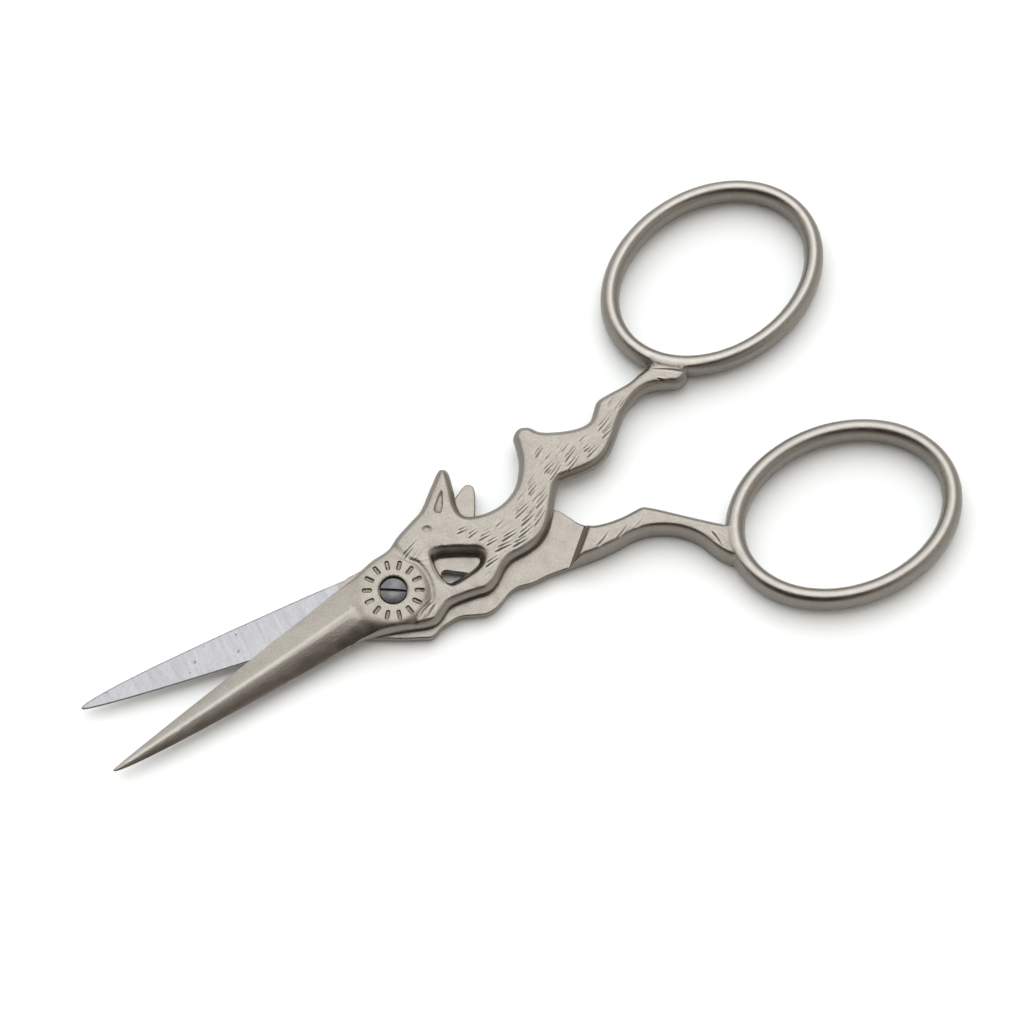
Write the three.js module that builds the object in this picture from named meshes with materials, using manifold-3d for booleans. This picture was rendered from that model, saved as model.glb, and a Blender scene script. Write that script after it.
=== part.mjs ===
// Embroidery scissors with an animal figure on the handles, in millimetres, +Z up.
// The origin is on the pivot axis in the plane the scissors lie on, and +X runs from the pivot to the rings.
// Each half is drawn closed, with its blade along -X, and is then turned by half the opening.
import * as THREE from 'three';
import { mergeVertices } from 'three/addons/utils/BufferGeometryUtils.js';
import Module from 'manifold-3d';

const wasm = await Module();
wasm.setup();

// Opening between the two blades as they lie at rest, in degrees.
const OPENING = 12.5;

// Thicknesses, from the resting plane up.
const LAP_THICKNESS = 1.7;
const LAP_GAP = 0.1;
const FIGURE_THICKNESS = 1.6;
const LEG_THICKNESS = 3.4;
const FIGURE_ROUNDING = 0.35;
const LEG_ROUNDING = 0.35;

// Blades: length from the pivot, height of the half-round back, and the reach of each side at the root.
const BLADE_LENGTH = 36.5;
const BLADE_ROOT = 2.5;
const BLADE_ROOT_HEIGHT = 1.6;
const BLADE_TIP_HEIGHT = 0.35;
const BLADE_TIP_LAND = 0.25;
const CUTTING_EDGE_LAND = 0.12;
const FRONT_EDGE_REACH = 3.9;
const FRONT_SPINE_REACH = 2.7;
const BACK_EDGE_REACH = 2.1;
const BACK_SPINE_REACH = 3.7;

// How fast each side of a blade narrows towards the tip: 1 is straight, less is fuller.
const FRONT_EDGE_TAPER = 0.92;
const FRONT_SPINE_TAPER = 0.58;
const BACK_EDGE_TAPER = 0.61;
const BACK_SPINE_TAPER = 0.62;
const BLADE_HEIGHT_TAPER = 0.7;

// Pivot screw and the boss around it.
const SHANK_RADIUS = 0.9;
const SHANK_CLEARANCE = 0.05;
const HEAD_RADIUS = 1.5;
const HEAD_HEIGHT = 0.9;
const HEAD_CLEARANCE = 0.12;
const HEAD_SEAT_GAP = 0.05;
const HEAD_BELOW_BOSS = 0.05;
const HEAD_CHAMFER = 0.12;
const SLOT_WIDTH = 0.36;
const SLOT_DEPTH = 0.45;
const SLOT_ANGLE = -25;
const BOSS_RADIUS = 3.7;
const BOSS_PROUD = 0.15;
const BOSS_ROUNDING = 0.3;

// Sunk notches around the boss, like the rays of a sun.
const NOTCH_COUNT = 14;
const NOTCH_CIRCLE_RADIUS = 2.75;
const NOTCH_LENGTH = 1.0;
const NOTCH_WIDTH = 0.5;
const NOTCH_DEPTH = 0.3;
const NOTCH_START_ANGLE = -33;

// Finger rings: the oval their middle line follows, and their section.
const RING_LONG = 24.8;
const RING_SHORT = 18.6;
const RING_WIDTH = 2.2;
const RING_HEIGHT = 3.5;
const RING_ROUNDING = 0.9;

// Where each hind paw holds its ring: the point on the ring's middle line, the place of that point around
// the oval, and how far the oval is turned from the half's own X axis, in degrees.
const FRONT_GRIP = [40.5, 5.8];
const FRONT_GRIP_PLACE = 218;
const FRONT_RING_TILT = 2;
const BACK_GRIP = [37.4, -8.2];
const BACK_GRIP_PLACE = 173;
const BACK_RING_TILT = 1;

// Steps where a half grows from its lap to its full thickness: place on the X axis at the lap face, how far
// the sloping step leans back over the full height, and its direction in degrees from the X axis.
const BACK_STEP_PLACE = 22.5;
const BACK_STEP_LEAN = 0.8;
const BACK_STEP_ANGLE = 50;
const FRONT_STEP_PLACE = 33.0;
const FRONT_STEP_LEAN = 1.6;
const FRONT_STEP_ANGLE = 90;

// Outlines seen from above, in the closed position. Both halves share the head and the belly.
const HEAD_AND_NAPE = [
  [-4.4, 3.5], [-2.9, 3.8], [0, 4.4], [2.2, 4.5], [3.8, 5.2], [5.9, 5.8], [7.6, 6.3], [10.1, 8.0],
  [12.0, 9.0], [12.6, 8.4], [12.1, 6.5], [11.3, 4.4], [11.4, 3.2], [12.6, 2.4], [15.3, 2.0], [17.8, 2.8],
];
const FRONT_BACK_AND_LEG = [
  [19.8, 5.0], [20.5, 6.6], [21.0, 7.8], [21.9, 8.2], [22.9, 7.8], [23.8, 6.7], [25.4, 5.7], [27.5, 4.8],
  [29.0, 4.7], [30.1, 5.5], [31.0, 6.2], [32.6, 6.3], [35.2, 6.2], [36.6, 6.4],
];
const FRONT_LEG_AND_FLANK = [
  [38.6, 3.3], [37.2, 4.0], [36.0, 4.2], [34.8, 4.0], [33.0, 3.3], [31.4, 2.2], [30.0, 1.1], [28.4, 0.2],
  [26.8, -0.1], [25.0, 0.1], [23.2, 0.5], [22.3, 0.6], [21.7, 0.1], [20.6, -1.1], [19.4, -2.4], [18.2, -3.4],
];
const BACK_SHOULDER_AND_LEG = [
  [19.2, 3.2], [20.4, 2.7], [21.2, 1.7], [22.1, 0.4], [23.2, -0.4], [24.8, -0.7], [26.6, -0.7], [28.2, -0.5],
  [29.2, -0.4], [30.2, -0.9], [32.4, -2.4], [34.4, -3.8], [36.0, -4.9],
];
const BACK_LEG_AND_FLANK = [
  [35.5, -9.2], [34.6, -8.0], [33.9, -6.7], [33.0, -5.6], [31.7, -4.6], [30.2, -3.9], [28.6, -3.5],
  [27.0, -3.5], [25.0, -3.8], [22.8, -4.0], [20.6, -4.0], [18.6, -4.0],
];
const BELLY_AND_FOREPAW = [
  [16.8, -4.0], [15.0, -4.2], [13.0, -4.1], [12.0, -4.4], [11.0, -5.0], [10.0, -5.5], [8.8, -5.7],
  [7.6, -5.4], [6.0, -5.0], [4.4, -4.8], [3.4, -5.2], [2.2, -5.6], [1.0, -5.4], [-0.4, -4.7], [-2.6, -3.6],
  [-4.6, -2.7],
];
const THROAT_OPENING = [
  [5.2, 0.1], [5.0, -1.0], [4.9, -2.2], [5.4, -2.8], [6.6, -2.9], [8.1, -2.8], [9.2, -2.6], [9.9, -2.2],
  [10.1, -1.6], [9.8, -0.8], [8.8, 0.0], [7.6, 0.6], [6.5, 0.8], [5.4, 0.7],
];
// Hind paws as offsets from the grip, from the outside of the ring's band across it and out under the toes.
const FRONT_PAW = [[-2.2, 1.2], [-0.1, 0.2], [0.7, -1.0], [0.8, -2.2], [0.1, -2.9], [-0.9, -3.0]];
const BACK_PAW = [[-0.2, 2.6], [0.3, 0.8], [0, -1.2], [-0.9, -1.8]];

// Fineness of the faceted curves.
const OUTLINE_STEPS = 3;
const ROUNDING_STEPS = 2;
const RING_STEPS = 22;
const ROUND_SIDES = 40;
const BLADE_STATIONS = 9;
const BLADE_BACK_STEPS = 8;
const BLADE_STATION_CROWDING = 1.3;
const NOTCH_END_STEPS = 4;
const MERGE_DISTANCE = 1e-4;

// Heights that follow from the sizes above.
const FIGURE_BASE = LAP_THICKNESS + LAP_GAP;
const FIGURE_TOP = FIGURE_BASE + FIGURE_THICKNESS;
const BOSS_TOP = FIGURE_TOP + BOSS_PROUD;
const HEAD_TOP = BOSS_TOP - HEAD_BELOW_BOSS;
const HEAD_SEAT = HEAD_TOP - HEAD_HEIGHT;
const CUT_MARGIN = 5;
const CUT_REACH = 2 * BLADE_LENGTH;

const radians = THREE.MathUtils.degToRad;

// A geometry as a solid for joining and cutting: only positions, with shared corners merged.
function solidOf(geometry) {
  const bare = geometry.index ? geometry.toNonIndexed() : geometry.clone();
  bare.deleteAttribute('normal');
  bare.deleteAttribute('uv');
  const merged = mergeVertices(bare, MERGE_DISTANCE);
  return new wasm.Manifold(new wasm.Mesh({
    numProp: 3,
    vertProperties: new Float32Array(merged.attributes.position.array),
    triVerts: new Uint32Array(merged.index.array),
  }));
}

// A solid as a geometry with flat faces.
function geometryOf(solid) {
  const mesh = solid.getMesh();
  const geometry = new THREE.BufferGeometry();
  geometry.setAttribute('position', new THREE.Float32BufferAttribute(mesh.vertProperties, 3));
  geometry.setIndex(new THREE.Uint32BufferAttribute(mesh.triVerts, 1));
  geometry.computeVertexNormals();
  return geometry;
}

// Points along a smooth closed curve through the given corners.
function smoothLoop(corners) {
  const knots = corners.map(([x, y]) => new THREE.Vector3(x, y, 0));
  const curve = new THREE.CatmullRomCurve3(knots, true, 'centripetal');
  const points = curve.getPoints(corners.length * OUTLINE_STEPS).slice(0, -1);
  return points.map((point) => new THREE.Vector2(point.x, point.y));
}

// A flat plate of the given outline between two heights, with its edges rounded on both faces.
function plate(shape, bottom, top, rounding, curveSteps) {
  const geometry = new THREE.ExtrudeGeometry(shape, {
    depth: top - bottom - 2 * rounding,
    curveSegments: curveSteps,
    bevelThickness: rounding,
    bevelSize: rounding,
    bevelOffset: -rounding,
    bevelSegments: ROUNDING_STEPS,
  });
  return solidOf(geometry.translate(0, 0, bottom + rounding));
}

// An upright round bar on the pivot axis.
function pivotBar(radius, bottom, top) {
  const geometry = new THREE.CylinderGeometry(radius, radius, top - bottom, ROUND_SIDES);
  return solidOf(geometry.rotateX(Math.PI / 2).translate(0, 0, (bottom + top) / 2));
}

// The closed skin over a row of sections that all have the same number of points, with both ends capped.
function skinOver(sections) {
  const count = sections[0].length;
  const positions = sections.flat(2);
  const index = [];
  for (let row = 0; row + 1 < sections.length; row += 1) {
    for (let i = 0; i < count; i += 1) {
      const a = row * count + i;
      const b = row * count + ((i + 1) % count);
      index.push(a, b, a + count, b, b + count, a + count);
    }
  }
  const last = (sections.length - 1) * count;
  for (let i = 1; i + 1 < count; i += 1) {
    index.push(0, i + 1, i, last, last + i, last + i + 1);
  }
  const geometry = new THREE.BufferGeometry();
  geometry.setAttribute('position', new THREE.Float32BufferAttribute(positions, 3));
  geometry.setIndex(index);
  return geometry;
}

// One blade: flat on the lap face, with a half-round back of the given side, tapering from root to tip.
// The two reaches are the distances from the blade's axis to its upper and lower side at the root.
function blade(lapFace, backSide, upper, lower) {
  const span = BLADE_LENGTH - BLADE_ROOT;
  const sections = [];
  for (let station = 0; station <= BLADE_STATIONS; station += 1) {
    const spaced = (1 - station / BLADE_STATIONS) ** BLADE_STATION_CROWDING;
    const left = Math.max(span * spaced, BLADE_TIP_LAND);
    const share = left / span;
    const high = upper.reach * share ** upper.taper;
    const low = -lower.reach * share ** lower.taper;
    const height = BLADE_TIP_HEIGHT + (BLADE_ROOT_HEIGHT - BLADE_TIP_HEIGHT) * share ** BLADE_HEIGHT_TAPER;
    const x = -BLADE_LENGTH + left - BLADE_TIP_LAND;
    const section = [[x, low, lapFace], [x, high, lapFace]];
    for (let step = 0; step <= BLADE_BACK_STEPS; step += 1) {
      const angle = Math.PI * step / BLADE_BACK_STEPS;
      const y = (high + low) / 2 + (high - low) / 2 * Math.cos(angle);
      const rise = CUTTING_EDGE_LAND + (height - CUTTING_EDGE_LAND) * Math.sin(angle);
      section.push([x, y, lapFace + backSide * rise]);
    }
    sections.push(backSide > 0 ? section.reverse() : section);
  }
  return solidOf(skinOver(sections));
}

// The oval band of a finger ring, placed so that the grip point lies on its middle line.
function fingerRing(grip, place, tilt) {
  const long = RING_LONG / 2;
  const short = RING_SHORT / 2;
  const onOval = new THREE.Vector2(long * Math.cos(radians(place)), short * Math.sin(radians(place)));
  onOval.rotateAround(new THREE.Vector2(), radians(tilt));
  const x = grip[0] - onOval.x;
  const y = grip[1] - onOval.y;
  const half = RING_WIDTH / 2;
  const band = new THREE.Shape();
  band.absellipse(x, y, long + half, short + half, 0, 2 * Math.PI, false, radians(tilt));
  const hole = new THREE.Path();
  hole.absellipse(x, y, long - half, short - half, 0, 2 * Math.PI, true, radians(tilt));
  band.holes.push(hole);
  return plate(band, 0, RING_HEIGHT, RING_ROUNDING, RING_STEPS);
}

// A cutter for a lap: everything on the blade's side of a sloping step, between two heights.
// The step crosses the X axis at the given place where it meets the lap face.
function lapCutter(place, lean, angle, lapFace, farFace) {
  const profile = new THREE.Shape([
    new THREE.Vector2(-CUT_REACH, lapFace),
    new THREE.Vector2(0, lapFace),
    new THREE.Vector2(lean, farFace),
    new THREE.Vector2(-CUT_REACH, farFace),
  ]);
  const geometry = new THREE.ExtrudeGeometry(profile, { depth: 2 * CUT_REACH, bevelEnabled: false });
  geometry.translate(0, 0, -CUT_REACH);
  geometry.rotateX(Math.PI / 2);
  geometry.rotateZ(radians(angle - 90));
  return solidOf(geometry.translate(place, 0, 0));
}

// A figure plate with the opening between throat and foreleg.
function figurePlate(corners, top, rounding) {
  const shape = new THREE.Shape(smoothLoop(corners));
  shape.holes.push(new THREE.Path(smoothLoop(THROAT_OPENING)));
  return plate(shape, 0, top, rounding, OUTLINE_STEPS);
}

// Paw corners at their place in the half's frame.
function pawAt(grip, offsets) {
  return offsets.map(([dx, dy]) => [grip[0] + dx, grip[1] + dy]);
}

// One of the sunk rays around the screw, as the solid that is cut out of the boss.
function bossNotch(number) {
  const half = NOTCH_WIDTH / 2;
  const straight = (NOTCH_LENGTH - NOTCH_WIDTH) / 2;
  const shape = new THREE.Shape();
  shape.absarc(straight, 0, half, -Math.PI / 2, Math.PI / 2, false);
  shape.absarc(-straight, 0, half, Math.PI / 2, 1.5 * Math.PI, false);
  const geometry = new THREE.ExtrudeGeometry(shape, {
    depth: NOTCH_DEPTH + CUT_MARGIN,
    curveSegments: NOTCH_END_STEPS,
    bevelEnabled: false,
  });
  geometry.translate(NOTCH_CIRCLE_RADIUS, 0, BOSS_TOP - NOTCH_DEPTH);
  geometry.rotateZ(radians(NOTCH_START_ANGLE + 360 * number / NOTCH_COUNT));
  return solidOf(geometry);
}

// The round boss that the forepaw and the muzzle hold.
function boss() {
  const profile = [
    new THREE.Vector2(0, FIGURE_BASE),
    new THREE.Vector2(BOSS_RADIUS, FIGURE_BASE),
    new THREE.Vector2(BOSS_RADIUS, BOSS_TOP - BOSS_ROUNDING),
    new THREE.Vector2(BOSS_RADIUS - BOSS_ROUNDING, BOSS_TOP),
    new THREE.Vector2(0, BOSS_TOP),
  ];
  return solidOf(new THREE.LatheGeometry(profile, ROUND_SIDES).rotateX(Math.PI / 2));
}

function frontHalf() {
  const corners = [
    ...HEAD_AND_NAPE,
    ...FRONT_BACK_AND_LEG,
    ...pawAt(FRONT_GRIP, FRONT_PAW),
    ...FRONT_LEG_AND_FLANK,
    ...BELLY_AND_FOREPAW,
  ];
  const lap = lapCutter(FRONT_STEP_PLACE, FRONT_STEP_LEAN, FRONT_STEP_ANGLE, FIGURE_BASE, -CUT_MARGIN);
  let solid = figurePlate(corners, FIGURE_TOP, FIGURE_ROUNDING).subtract(lap);
  const edge = { reach: FRONT_EDGE_REACH, taper: FRONT_EDGE_TAPER };
  const spine = { reach: FRONT_SPINE_REACH, taper: FRONT_SPINE_TAPER };
  solid = solid.add(blade(FIGURE_BASE, 1, edge, spine)).add(boss());
  solid = solid.add(fingerRing(FRONT_GRIP, FRONT_GRIP_PLACE, FRONT_RING_TILT));
  for (let number = 0; number < NOTCH_COUNT; number += 1) {
    solid = solid.subtract(bossNotch(number));
  }
  const bore = pivotBar(SHANK_RADIUS + SHANK_CLEARANCE, 0, BOSS_TOP + CUT_MARGIN);
  const seat = HEAD_SEAT - HEAD_SEAT_GAP;
  const counterbore = pivotBar(HEAD_RADIUS + HEAD_CLEARANCE, seat, BOSS_TOP + CUT_MARGIN);
  return geometryOf(solid.subtract(bore).subtract(counterbore));
}

function backHalf() {
  const corners = [
    ...HEAD_AND_NAPE,
    ...BACK_SHOULDER_AND_LEG,
    ...pawAt(BACK_GRIP, BACK_PAW),
    ...BACK_LEG_AND_FLANK,
    ...BELLY_AND_FOREPAW,
  ];
  const above = LEG_THICKNESS + CUT_MARGIN;
  const lean = BACK_STEP_LEAN * (above - LAP_THICKNESS) / (LEG_THICKNESS - LAP_THICKNESS);
  const lap = lapCutter(BACK_STEP_PLACE, lean, BACK_STEP_ANGLE, LAP_THICKNESS, above);
  let solid = figurePlate(corners, LEG_THICKNESS, LEG_ROUNDING).subtract(lap);
  const edge = { reach: BACK_EDGE_REACH, taper: BACK_EDGE_TAPER };
  const spine = { reach: BACK_SPINE_REACH, taper: BACK_SPINE_TAPER };
  solid = solid.add(blade(LAP_THICKNESS, -1, spine, edge));
  solid = solid.add(fingerRing(BACK_GRIP, BACK_GRIP_PLACE, BACK_RING_TILT));
  const bore = pivotBar(SHANK_RADIUS + SHANK_CLEARANCE, -CUT_MARGIN, LAP_THICKNESS + CUT_MARGIN);
  return geometryOf(solid.subtract(bore));
}

function pivotScrew() {
  const profile = [
    new THREE.Vector2(0, 0),
    new THREE.Vector2(SHANK_RADIUS, 0),
    new THREE.Vector2(SHANK_RADIUS, HEAD_SEAT),
    new THREE.Vector2(HEAD_RADIUS, HEAD_SEAT),
    new THREE.Vector2(HEAD_RADIUS, HEAD_TOP - HEAD_CHAMFER),
    new THREE.Vector2(HEAD_RADIUS - HEAD_CHAMFER, HEAD_TOP),
    new THREE.Vector2(0, HEAD_TOP),
  ];
  const body = solidOf(new THREE.LatheGeometry(profile, ROUND_SIDES).rotateX(Math.PI / 2));
  const slot = new THREE.BoxGeometry(2 * HEAD_RADIUS + CUT_MARGIN, SLOT_WIDTH, 2 * SLOT_DEPTH);
  slot.rotateZ(radians(SLOT_ANGLE)).translate(0, 0, HEAD_TOP);
  return geometryOf(body.subtract(solidOf(slot)));
}

function satinNickel() {
  return new THREE.MeshStandardMaterial({ color: 0xb8ada3, roughness: 0.42, metalness: 1 });
}

function darkSteel() {
  return new THREE.MeshStandardMaterial({ color: 0x7d7b80, roughness: 0.35, metalness: 1 });
}

function named(name, geometry, material) {
  const mesh = new THREE.Mesh(geometry, material);
  mesh.name = name;
  return mesh;
}

const upper = new THREE.Group();
upper.rotation.z = radians(OPENING / 2);
upper.add(named('front_half', frontHalf(), satinNickel()));

const lower = new THREE.Group();
lower.rotation.z = radians(-OPENING / 2);
lower.add(named('back_half', backHalf(), satinNickel()));
lower.add(named('pivot_screw', pivotScrew(), darkSteel()));

const scissors = new THREE.Group();
scissors.add(upper, lower);

export default scissors;
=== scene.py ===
"""Embroidery scissors with an animal figure on the handles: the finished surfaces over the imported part.

Sizes are in millimetres. Each half is shaped in its closed position, with the pivot at the origin and the
blade along -X, and is then turned by half the opening and brought to metres.
"""

import logging
import math
from collections.abc import Callable, Iterable, Sequence
from dataclasses import dataclass, field
from enum import Enum

import bpy
import numpy as np
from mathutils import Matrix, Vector
from mathutils.geometry import delaunay_2d_cdt
from mathutils.kdtree import KDTree


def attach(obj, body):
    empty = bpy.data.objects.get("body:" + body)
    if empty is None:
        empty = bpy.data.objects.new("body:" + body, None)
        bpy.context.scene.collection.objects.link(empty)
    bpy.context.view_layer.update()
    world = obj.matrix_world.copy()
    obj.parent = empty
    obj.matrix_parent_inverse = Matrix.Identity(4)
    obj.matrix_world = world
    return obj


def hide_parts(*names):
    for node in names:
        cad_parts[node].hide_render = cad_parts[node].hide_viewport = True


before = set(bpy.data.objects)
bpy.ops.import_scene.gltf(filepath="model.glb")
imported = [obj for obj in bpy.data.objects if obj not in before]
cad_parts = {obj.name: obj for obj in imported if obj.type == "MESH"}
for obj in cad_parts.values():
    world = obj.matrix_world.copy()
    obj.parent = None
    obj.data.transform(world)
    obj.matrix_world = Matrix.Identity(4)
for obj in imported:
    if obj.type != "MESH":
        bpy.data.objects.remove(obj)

LOG = logging.getLogger("scissors")

Point = tuple[float, float]
Range = tuple[float, float]
Colour = tuple[float, float, float]

MM = 0.001
# A height far below every surface, for places where a form isn't.
NOWHERE = -100.0

# The opening between the blades in degrees, then the heights of the back half's lap, the front half's lap,
# the flat of the figure and the middle of the finger rings.
OPENING = 12.5
LAP_BACK = 1.7
LAP_FRONT = 1.8
FIGURE_TOP = 3.4
PARTING = 1.75

# Distances from the pivot within which lie the bore alone, and the bore and the throat alone.
BORE_REACH = 1.2
THROAT_REACH = 12.0
# Stretch of X over which the blade's thin edge goes over to the figure's wall.
NECK: Range = (-7.0, -4.0)
# The two ends of the line where the ground inner face of a blade stops.
GROUND_LINE: tuple[Point, Point] = ((-5.4, 3.0), (-4.2, -5.4))

# Spacing of points along an outline, the bend in degrees that stays a sharp corner, the width of the slope
# that stands for a crisp edge, the fillet between a ring and its paw, and the angle in degrees above which
# an edge isn't shaded smooth.
OUTLINE_SPACING = 0.12
SHARP_BEND = 28.0
CRISP = 0.03
RING_FILLET = 0.12
SMOOTH_ANGLE = 38.0

# Carving of this depth takes the full painted shade. The painted highlight along the ring's crest and the
# blade's ridge counts as a raised edge of this height, and the gain is what turns a raised edge into a
# painted highlight.
FULL_SHADE_DEPTH = 0.26
PAINTED_HIGHLIGHT_HEIGHT = 0.09
PAINTED_HIGHLIGHT_GAIN = 9.0

# Corners of the outlines, in order round the figure: over the head, down the back to the hind paw, and home
# along the belly to the forepaw. The halves share the head and the belly.
HEAD_AND_NAPE: list[Point] = [
    (-4.4, 3.5), (-2.9, 3.86), (0, 4.4), (2.2, 4.5), (3.8, 5.2), (5.9, 5.8), (7.6, 6.3), (10.1, 8.0),
    (12.05, 9.15), (12.65, 8.6), (12.1, 6.5), (11.3, 4.4), (11.4, 3.2), (12.6, 2.4), (15.3, 2.0),
    (17.8, 2.8),
]
FRONT_BACK_AND_LEG: list[Point] = [
    (19.8, 5.0), (20.45, 6.6), (20.9, 7.8), (21.9, 8.35), (22.95, 7.95), (23.8, 6.75), (25.4, 5.7),
    (27.5, 4.8), (29.0, 4.7), (30.1, 5.5), (31.0, 6.2), (32.6, 6.3), (35.2, 6.2), (36.6, 6.4),
]
FRONT_PAW: list[Point] = [
    (37.6, 6.5), (38.7, 6.75), (39.4, 6.4), (40.5, 5.2), (41.3, 4.55), (41.7, 3.9), (41.4, 3.3),
    (40.9, 2.85), (40.2, 2.7), (39.5, 2.8),
]
FRONT_LEG_AND_FLANK: list[Point] = [
    (38.6, 3.3), (37.2, 4.0), (36.0, 4.2), (34.8, 4.0), (33.0, 3.3), (31.4, 2.2), (30.0, 1.1),
    (28.4, 0.2), (26.8, -0.1), (25.0, 0.1), (23.2, 0.5), (22.3, 0.6), (21.7, 0.1), (20.6, -1.1),
    (19.4, -2.4), (18.2, -3.4),
]
BACK_SHOULDER_AND_LEG: list[Point] = [
    (19.2, 3.2), (20.4, 2.7), (21.2, 1.7), (22.1, 0.4), (23.2, -0.4), (24.8, -0.7), (26.6, -0.7),
    (28.2, -0.5), (29.2, -0.4), (30.2, -0.9), (32.4, -2.4), (34.4, -3.8), (36.0, -4.9),
]
BACK_PAW: list[Point] = [
    (37.1, -5.7), (37.7, -7.4), (37.3, -9.2), (36.5, -10.0),
]
BACK_LEG_AND_FLANK: list[Point] = [
    (35.5, -9.2), (34.6, -8.0), (33.9, -6.7), (33.0, -5.6), (31.7, -4.6), (30.2, -3.9), (28.6, -3.5),
    (27.0, -3.5), (25.0, -3.8), (22.8, -4.0), (20.6, -4.0), (18.6, -4.0),
]
BELLY: list[Point] = [
    (16.8, -4.0), (15.0, -4.2), (13.0, -4.1), (12.0, -4.4), (11.0, -5.0), (10.0, -5.5), (8.8, -5.7),
    (7.6, -5.4), (6.0, -5.0),
]
FRONT_FOREPAW: list[Point] = [
    (4.4, -4.8), (3.4, -5.2), (2.2, -5.6), (1.0, -5.4), (-0.4, -4.75), (-2.6, -3.75), (-4.5, -3.0),
    (-5.9, -2.63), (-7.4, -2.4),
]
BACK_FOREPAW: list[Point] = [
    (4.6, -5.2), (3.6, -5.45), (2.8, -5.9), (2.1, -6.05), (1.2, -5.75), (-0.2, -5.3), (-2.5, -4.4),
    (-4.5, -3.6), (-6.2, -2.8), (-7.6, -2.0),
]
FRONT_THROAT: list[Point] = [
    (5.75, 0.55), (5.5, -0.3), (5.4, -1.2), (5.45, -2.0), (5.8, -2.4), (6.6, -2.55), (7.8, -2.55),
    (9.0, -2.5), (9.8, -2.25), (10.2, -1.85), (10.15, -1.45), (9.4, -0.9), (8.4, -0.22), (7.4, 0.36),
    (6.7, 0.72), (6.1, 0.82),
]
BACK_THROAT: list[Point] = [
    (5.75, 0.2), (5.6, -1.0), (5.6, -2.1), (5.95, -2.6), (6.7, -2.8), (8.1, -2.75), (9.1, -2.5),
    (9.5, -2.1), (9.4, -1.5), (8.9, -0.9), (8.2, -0.45), (7.0, 0.2), (6.35, 0.56), (5.95, 0.55),
]
BOSS_BORDER: list[Point] = [
    (2.35, 5.2), (2.5, 3.7), (2.75, 2.9), (3.3, 1.9), (3.8, 1.3), (3.95, 0.6), (3.95, -0.6),
    (3.75, -1.6), (3.4, -2.4), (3.0, -3.05), (1.8, -3.5), (0.4, -4.0), (-1.0, -5.2),
]
EAR_HOLLOW: list[Point] = [
    (10.85, 6.85), (10.4, 5.9), (9.75, 5.0), (9.3, 4.65), (8.85, 4.9), (8.75, 5.3), (9.5, 6.05),
    (10.3, 6.65),
]


def smoothstep(low: float, high: float, value: np.ndarray) -> np.ndarray:
    """Rise smoothly from 0 at low to 1 at high.

    Args:
        low: Value where the rise starts.
        high: Value where the rise ends.
        value: Values to map.

    Returns:
        The share of the rise at each value.
    """
    share = np.clip((value - low) / (high - low), 0.0, 1.0)
    return share * share * (3.0 - 2.0 * share)


def smooth_max(first: np.ndarray, second: np.ndarray, radius: float) -> np.ndarray:
    """Take the higher of two surfaces with a fillet where they cross.

    Args:
        first: Heights of one surface.
        second: Heights of the other surface.
        radius: Height difference over which the fillet acts.

    Returns:
        Heights of the joined surface.
    """
    near = np.clip(1.0 - np.abs(first - second) / radius, 0.0, 1.0)
    return np.maximum(first, second) + near * near * radius / 4.0


def smooth_loop(corners: Sequence[Point], spacing: float) -> np.ndarray:
    """Lay a smooth closed curve through corners and space points along it.

    Args:
        corners: Points that the curve goes through, in order.
        spacing: Largest distance between neighbouring points.

    Returns:
        Points along the curve, one row each.
    """
    knots = np.array(corners, float)
    count = len(knots)
    rows: list[np.ndarray] = []
    for i in range(count):
        before, start, end, after = (knots[(i + k) % count] for k in (-1, 0, 1, 2))
        gap_in = math.sqrt(math.dist(before, start))
        gap = math.sqrt(math.dist(start, end))
        gap_out = math.sqrt(math.dist(end, after))
        leave = (start - before) / gap_in - (end - before) / (gap_in + gap) + (end - start) / gap
        reach = (end - start) / gap - (after - start) / (gap + gap_out) + (after - end) / gap_out
        steps = max(2, math.ceil(math.dist(start, end) / spacing))
        t = (np.arange(steps) / steps)[:, None]
        rows.append(
            start * (2 * t**3 - 3 * t**2 + 1) + leave * gap * (t**3 - 2 * t**2 + t)
            + end * (3 * t**2 - 2 * t**3) + reach * gap * (t**3 - t**2)
        )
    return np.vstack(rows)


def ellipse_loop(centre: Point, long: float, short: float, tilt: float, spacing: float) -> np.ndarray:
    """Space points along an ellipse.

    Args:
        centre: Middle of the ellipse.
        long: Half of its long axis.
        short: Half of its short axis.
        tilt: Turn of the long axis, in degrees.
        spacing: Rough distance between neighbouring points.

    Returns:
        Points along the ellipse, one row each.
    """
    count = max(12, math.ceil(math.pi * (long + short) / spacing))
    angle = np.arange(count) * (2 * math.pi / count)
    turned = turn(np.column_stack([long * np.cos(angle), short * np.sin(angle)]), tilt)
    return turned + np.array(centre)


def turn(points: np.ndarray, degrees: float) -> np.ndarray:
    """Turn points about the origin.

    Args:
        points: Points in the plane, one row each.
        degrees: Turn, counted from +X to +Y.

    Returns:
        The turned points.
    """
    c, s = math.cos(math.radians(degrees)), math.sin(math.radians(degrees))
    return points @ np.array([[c, s], [-s, c]])


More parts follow.
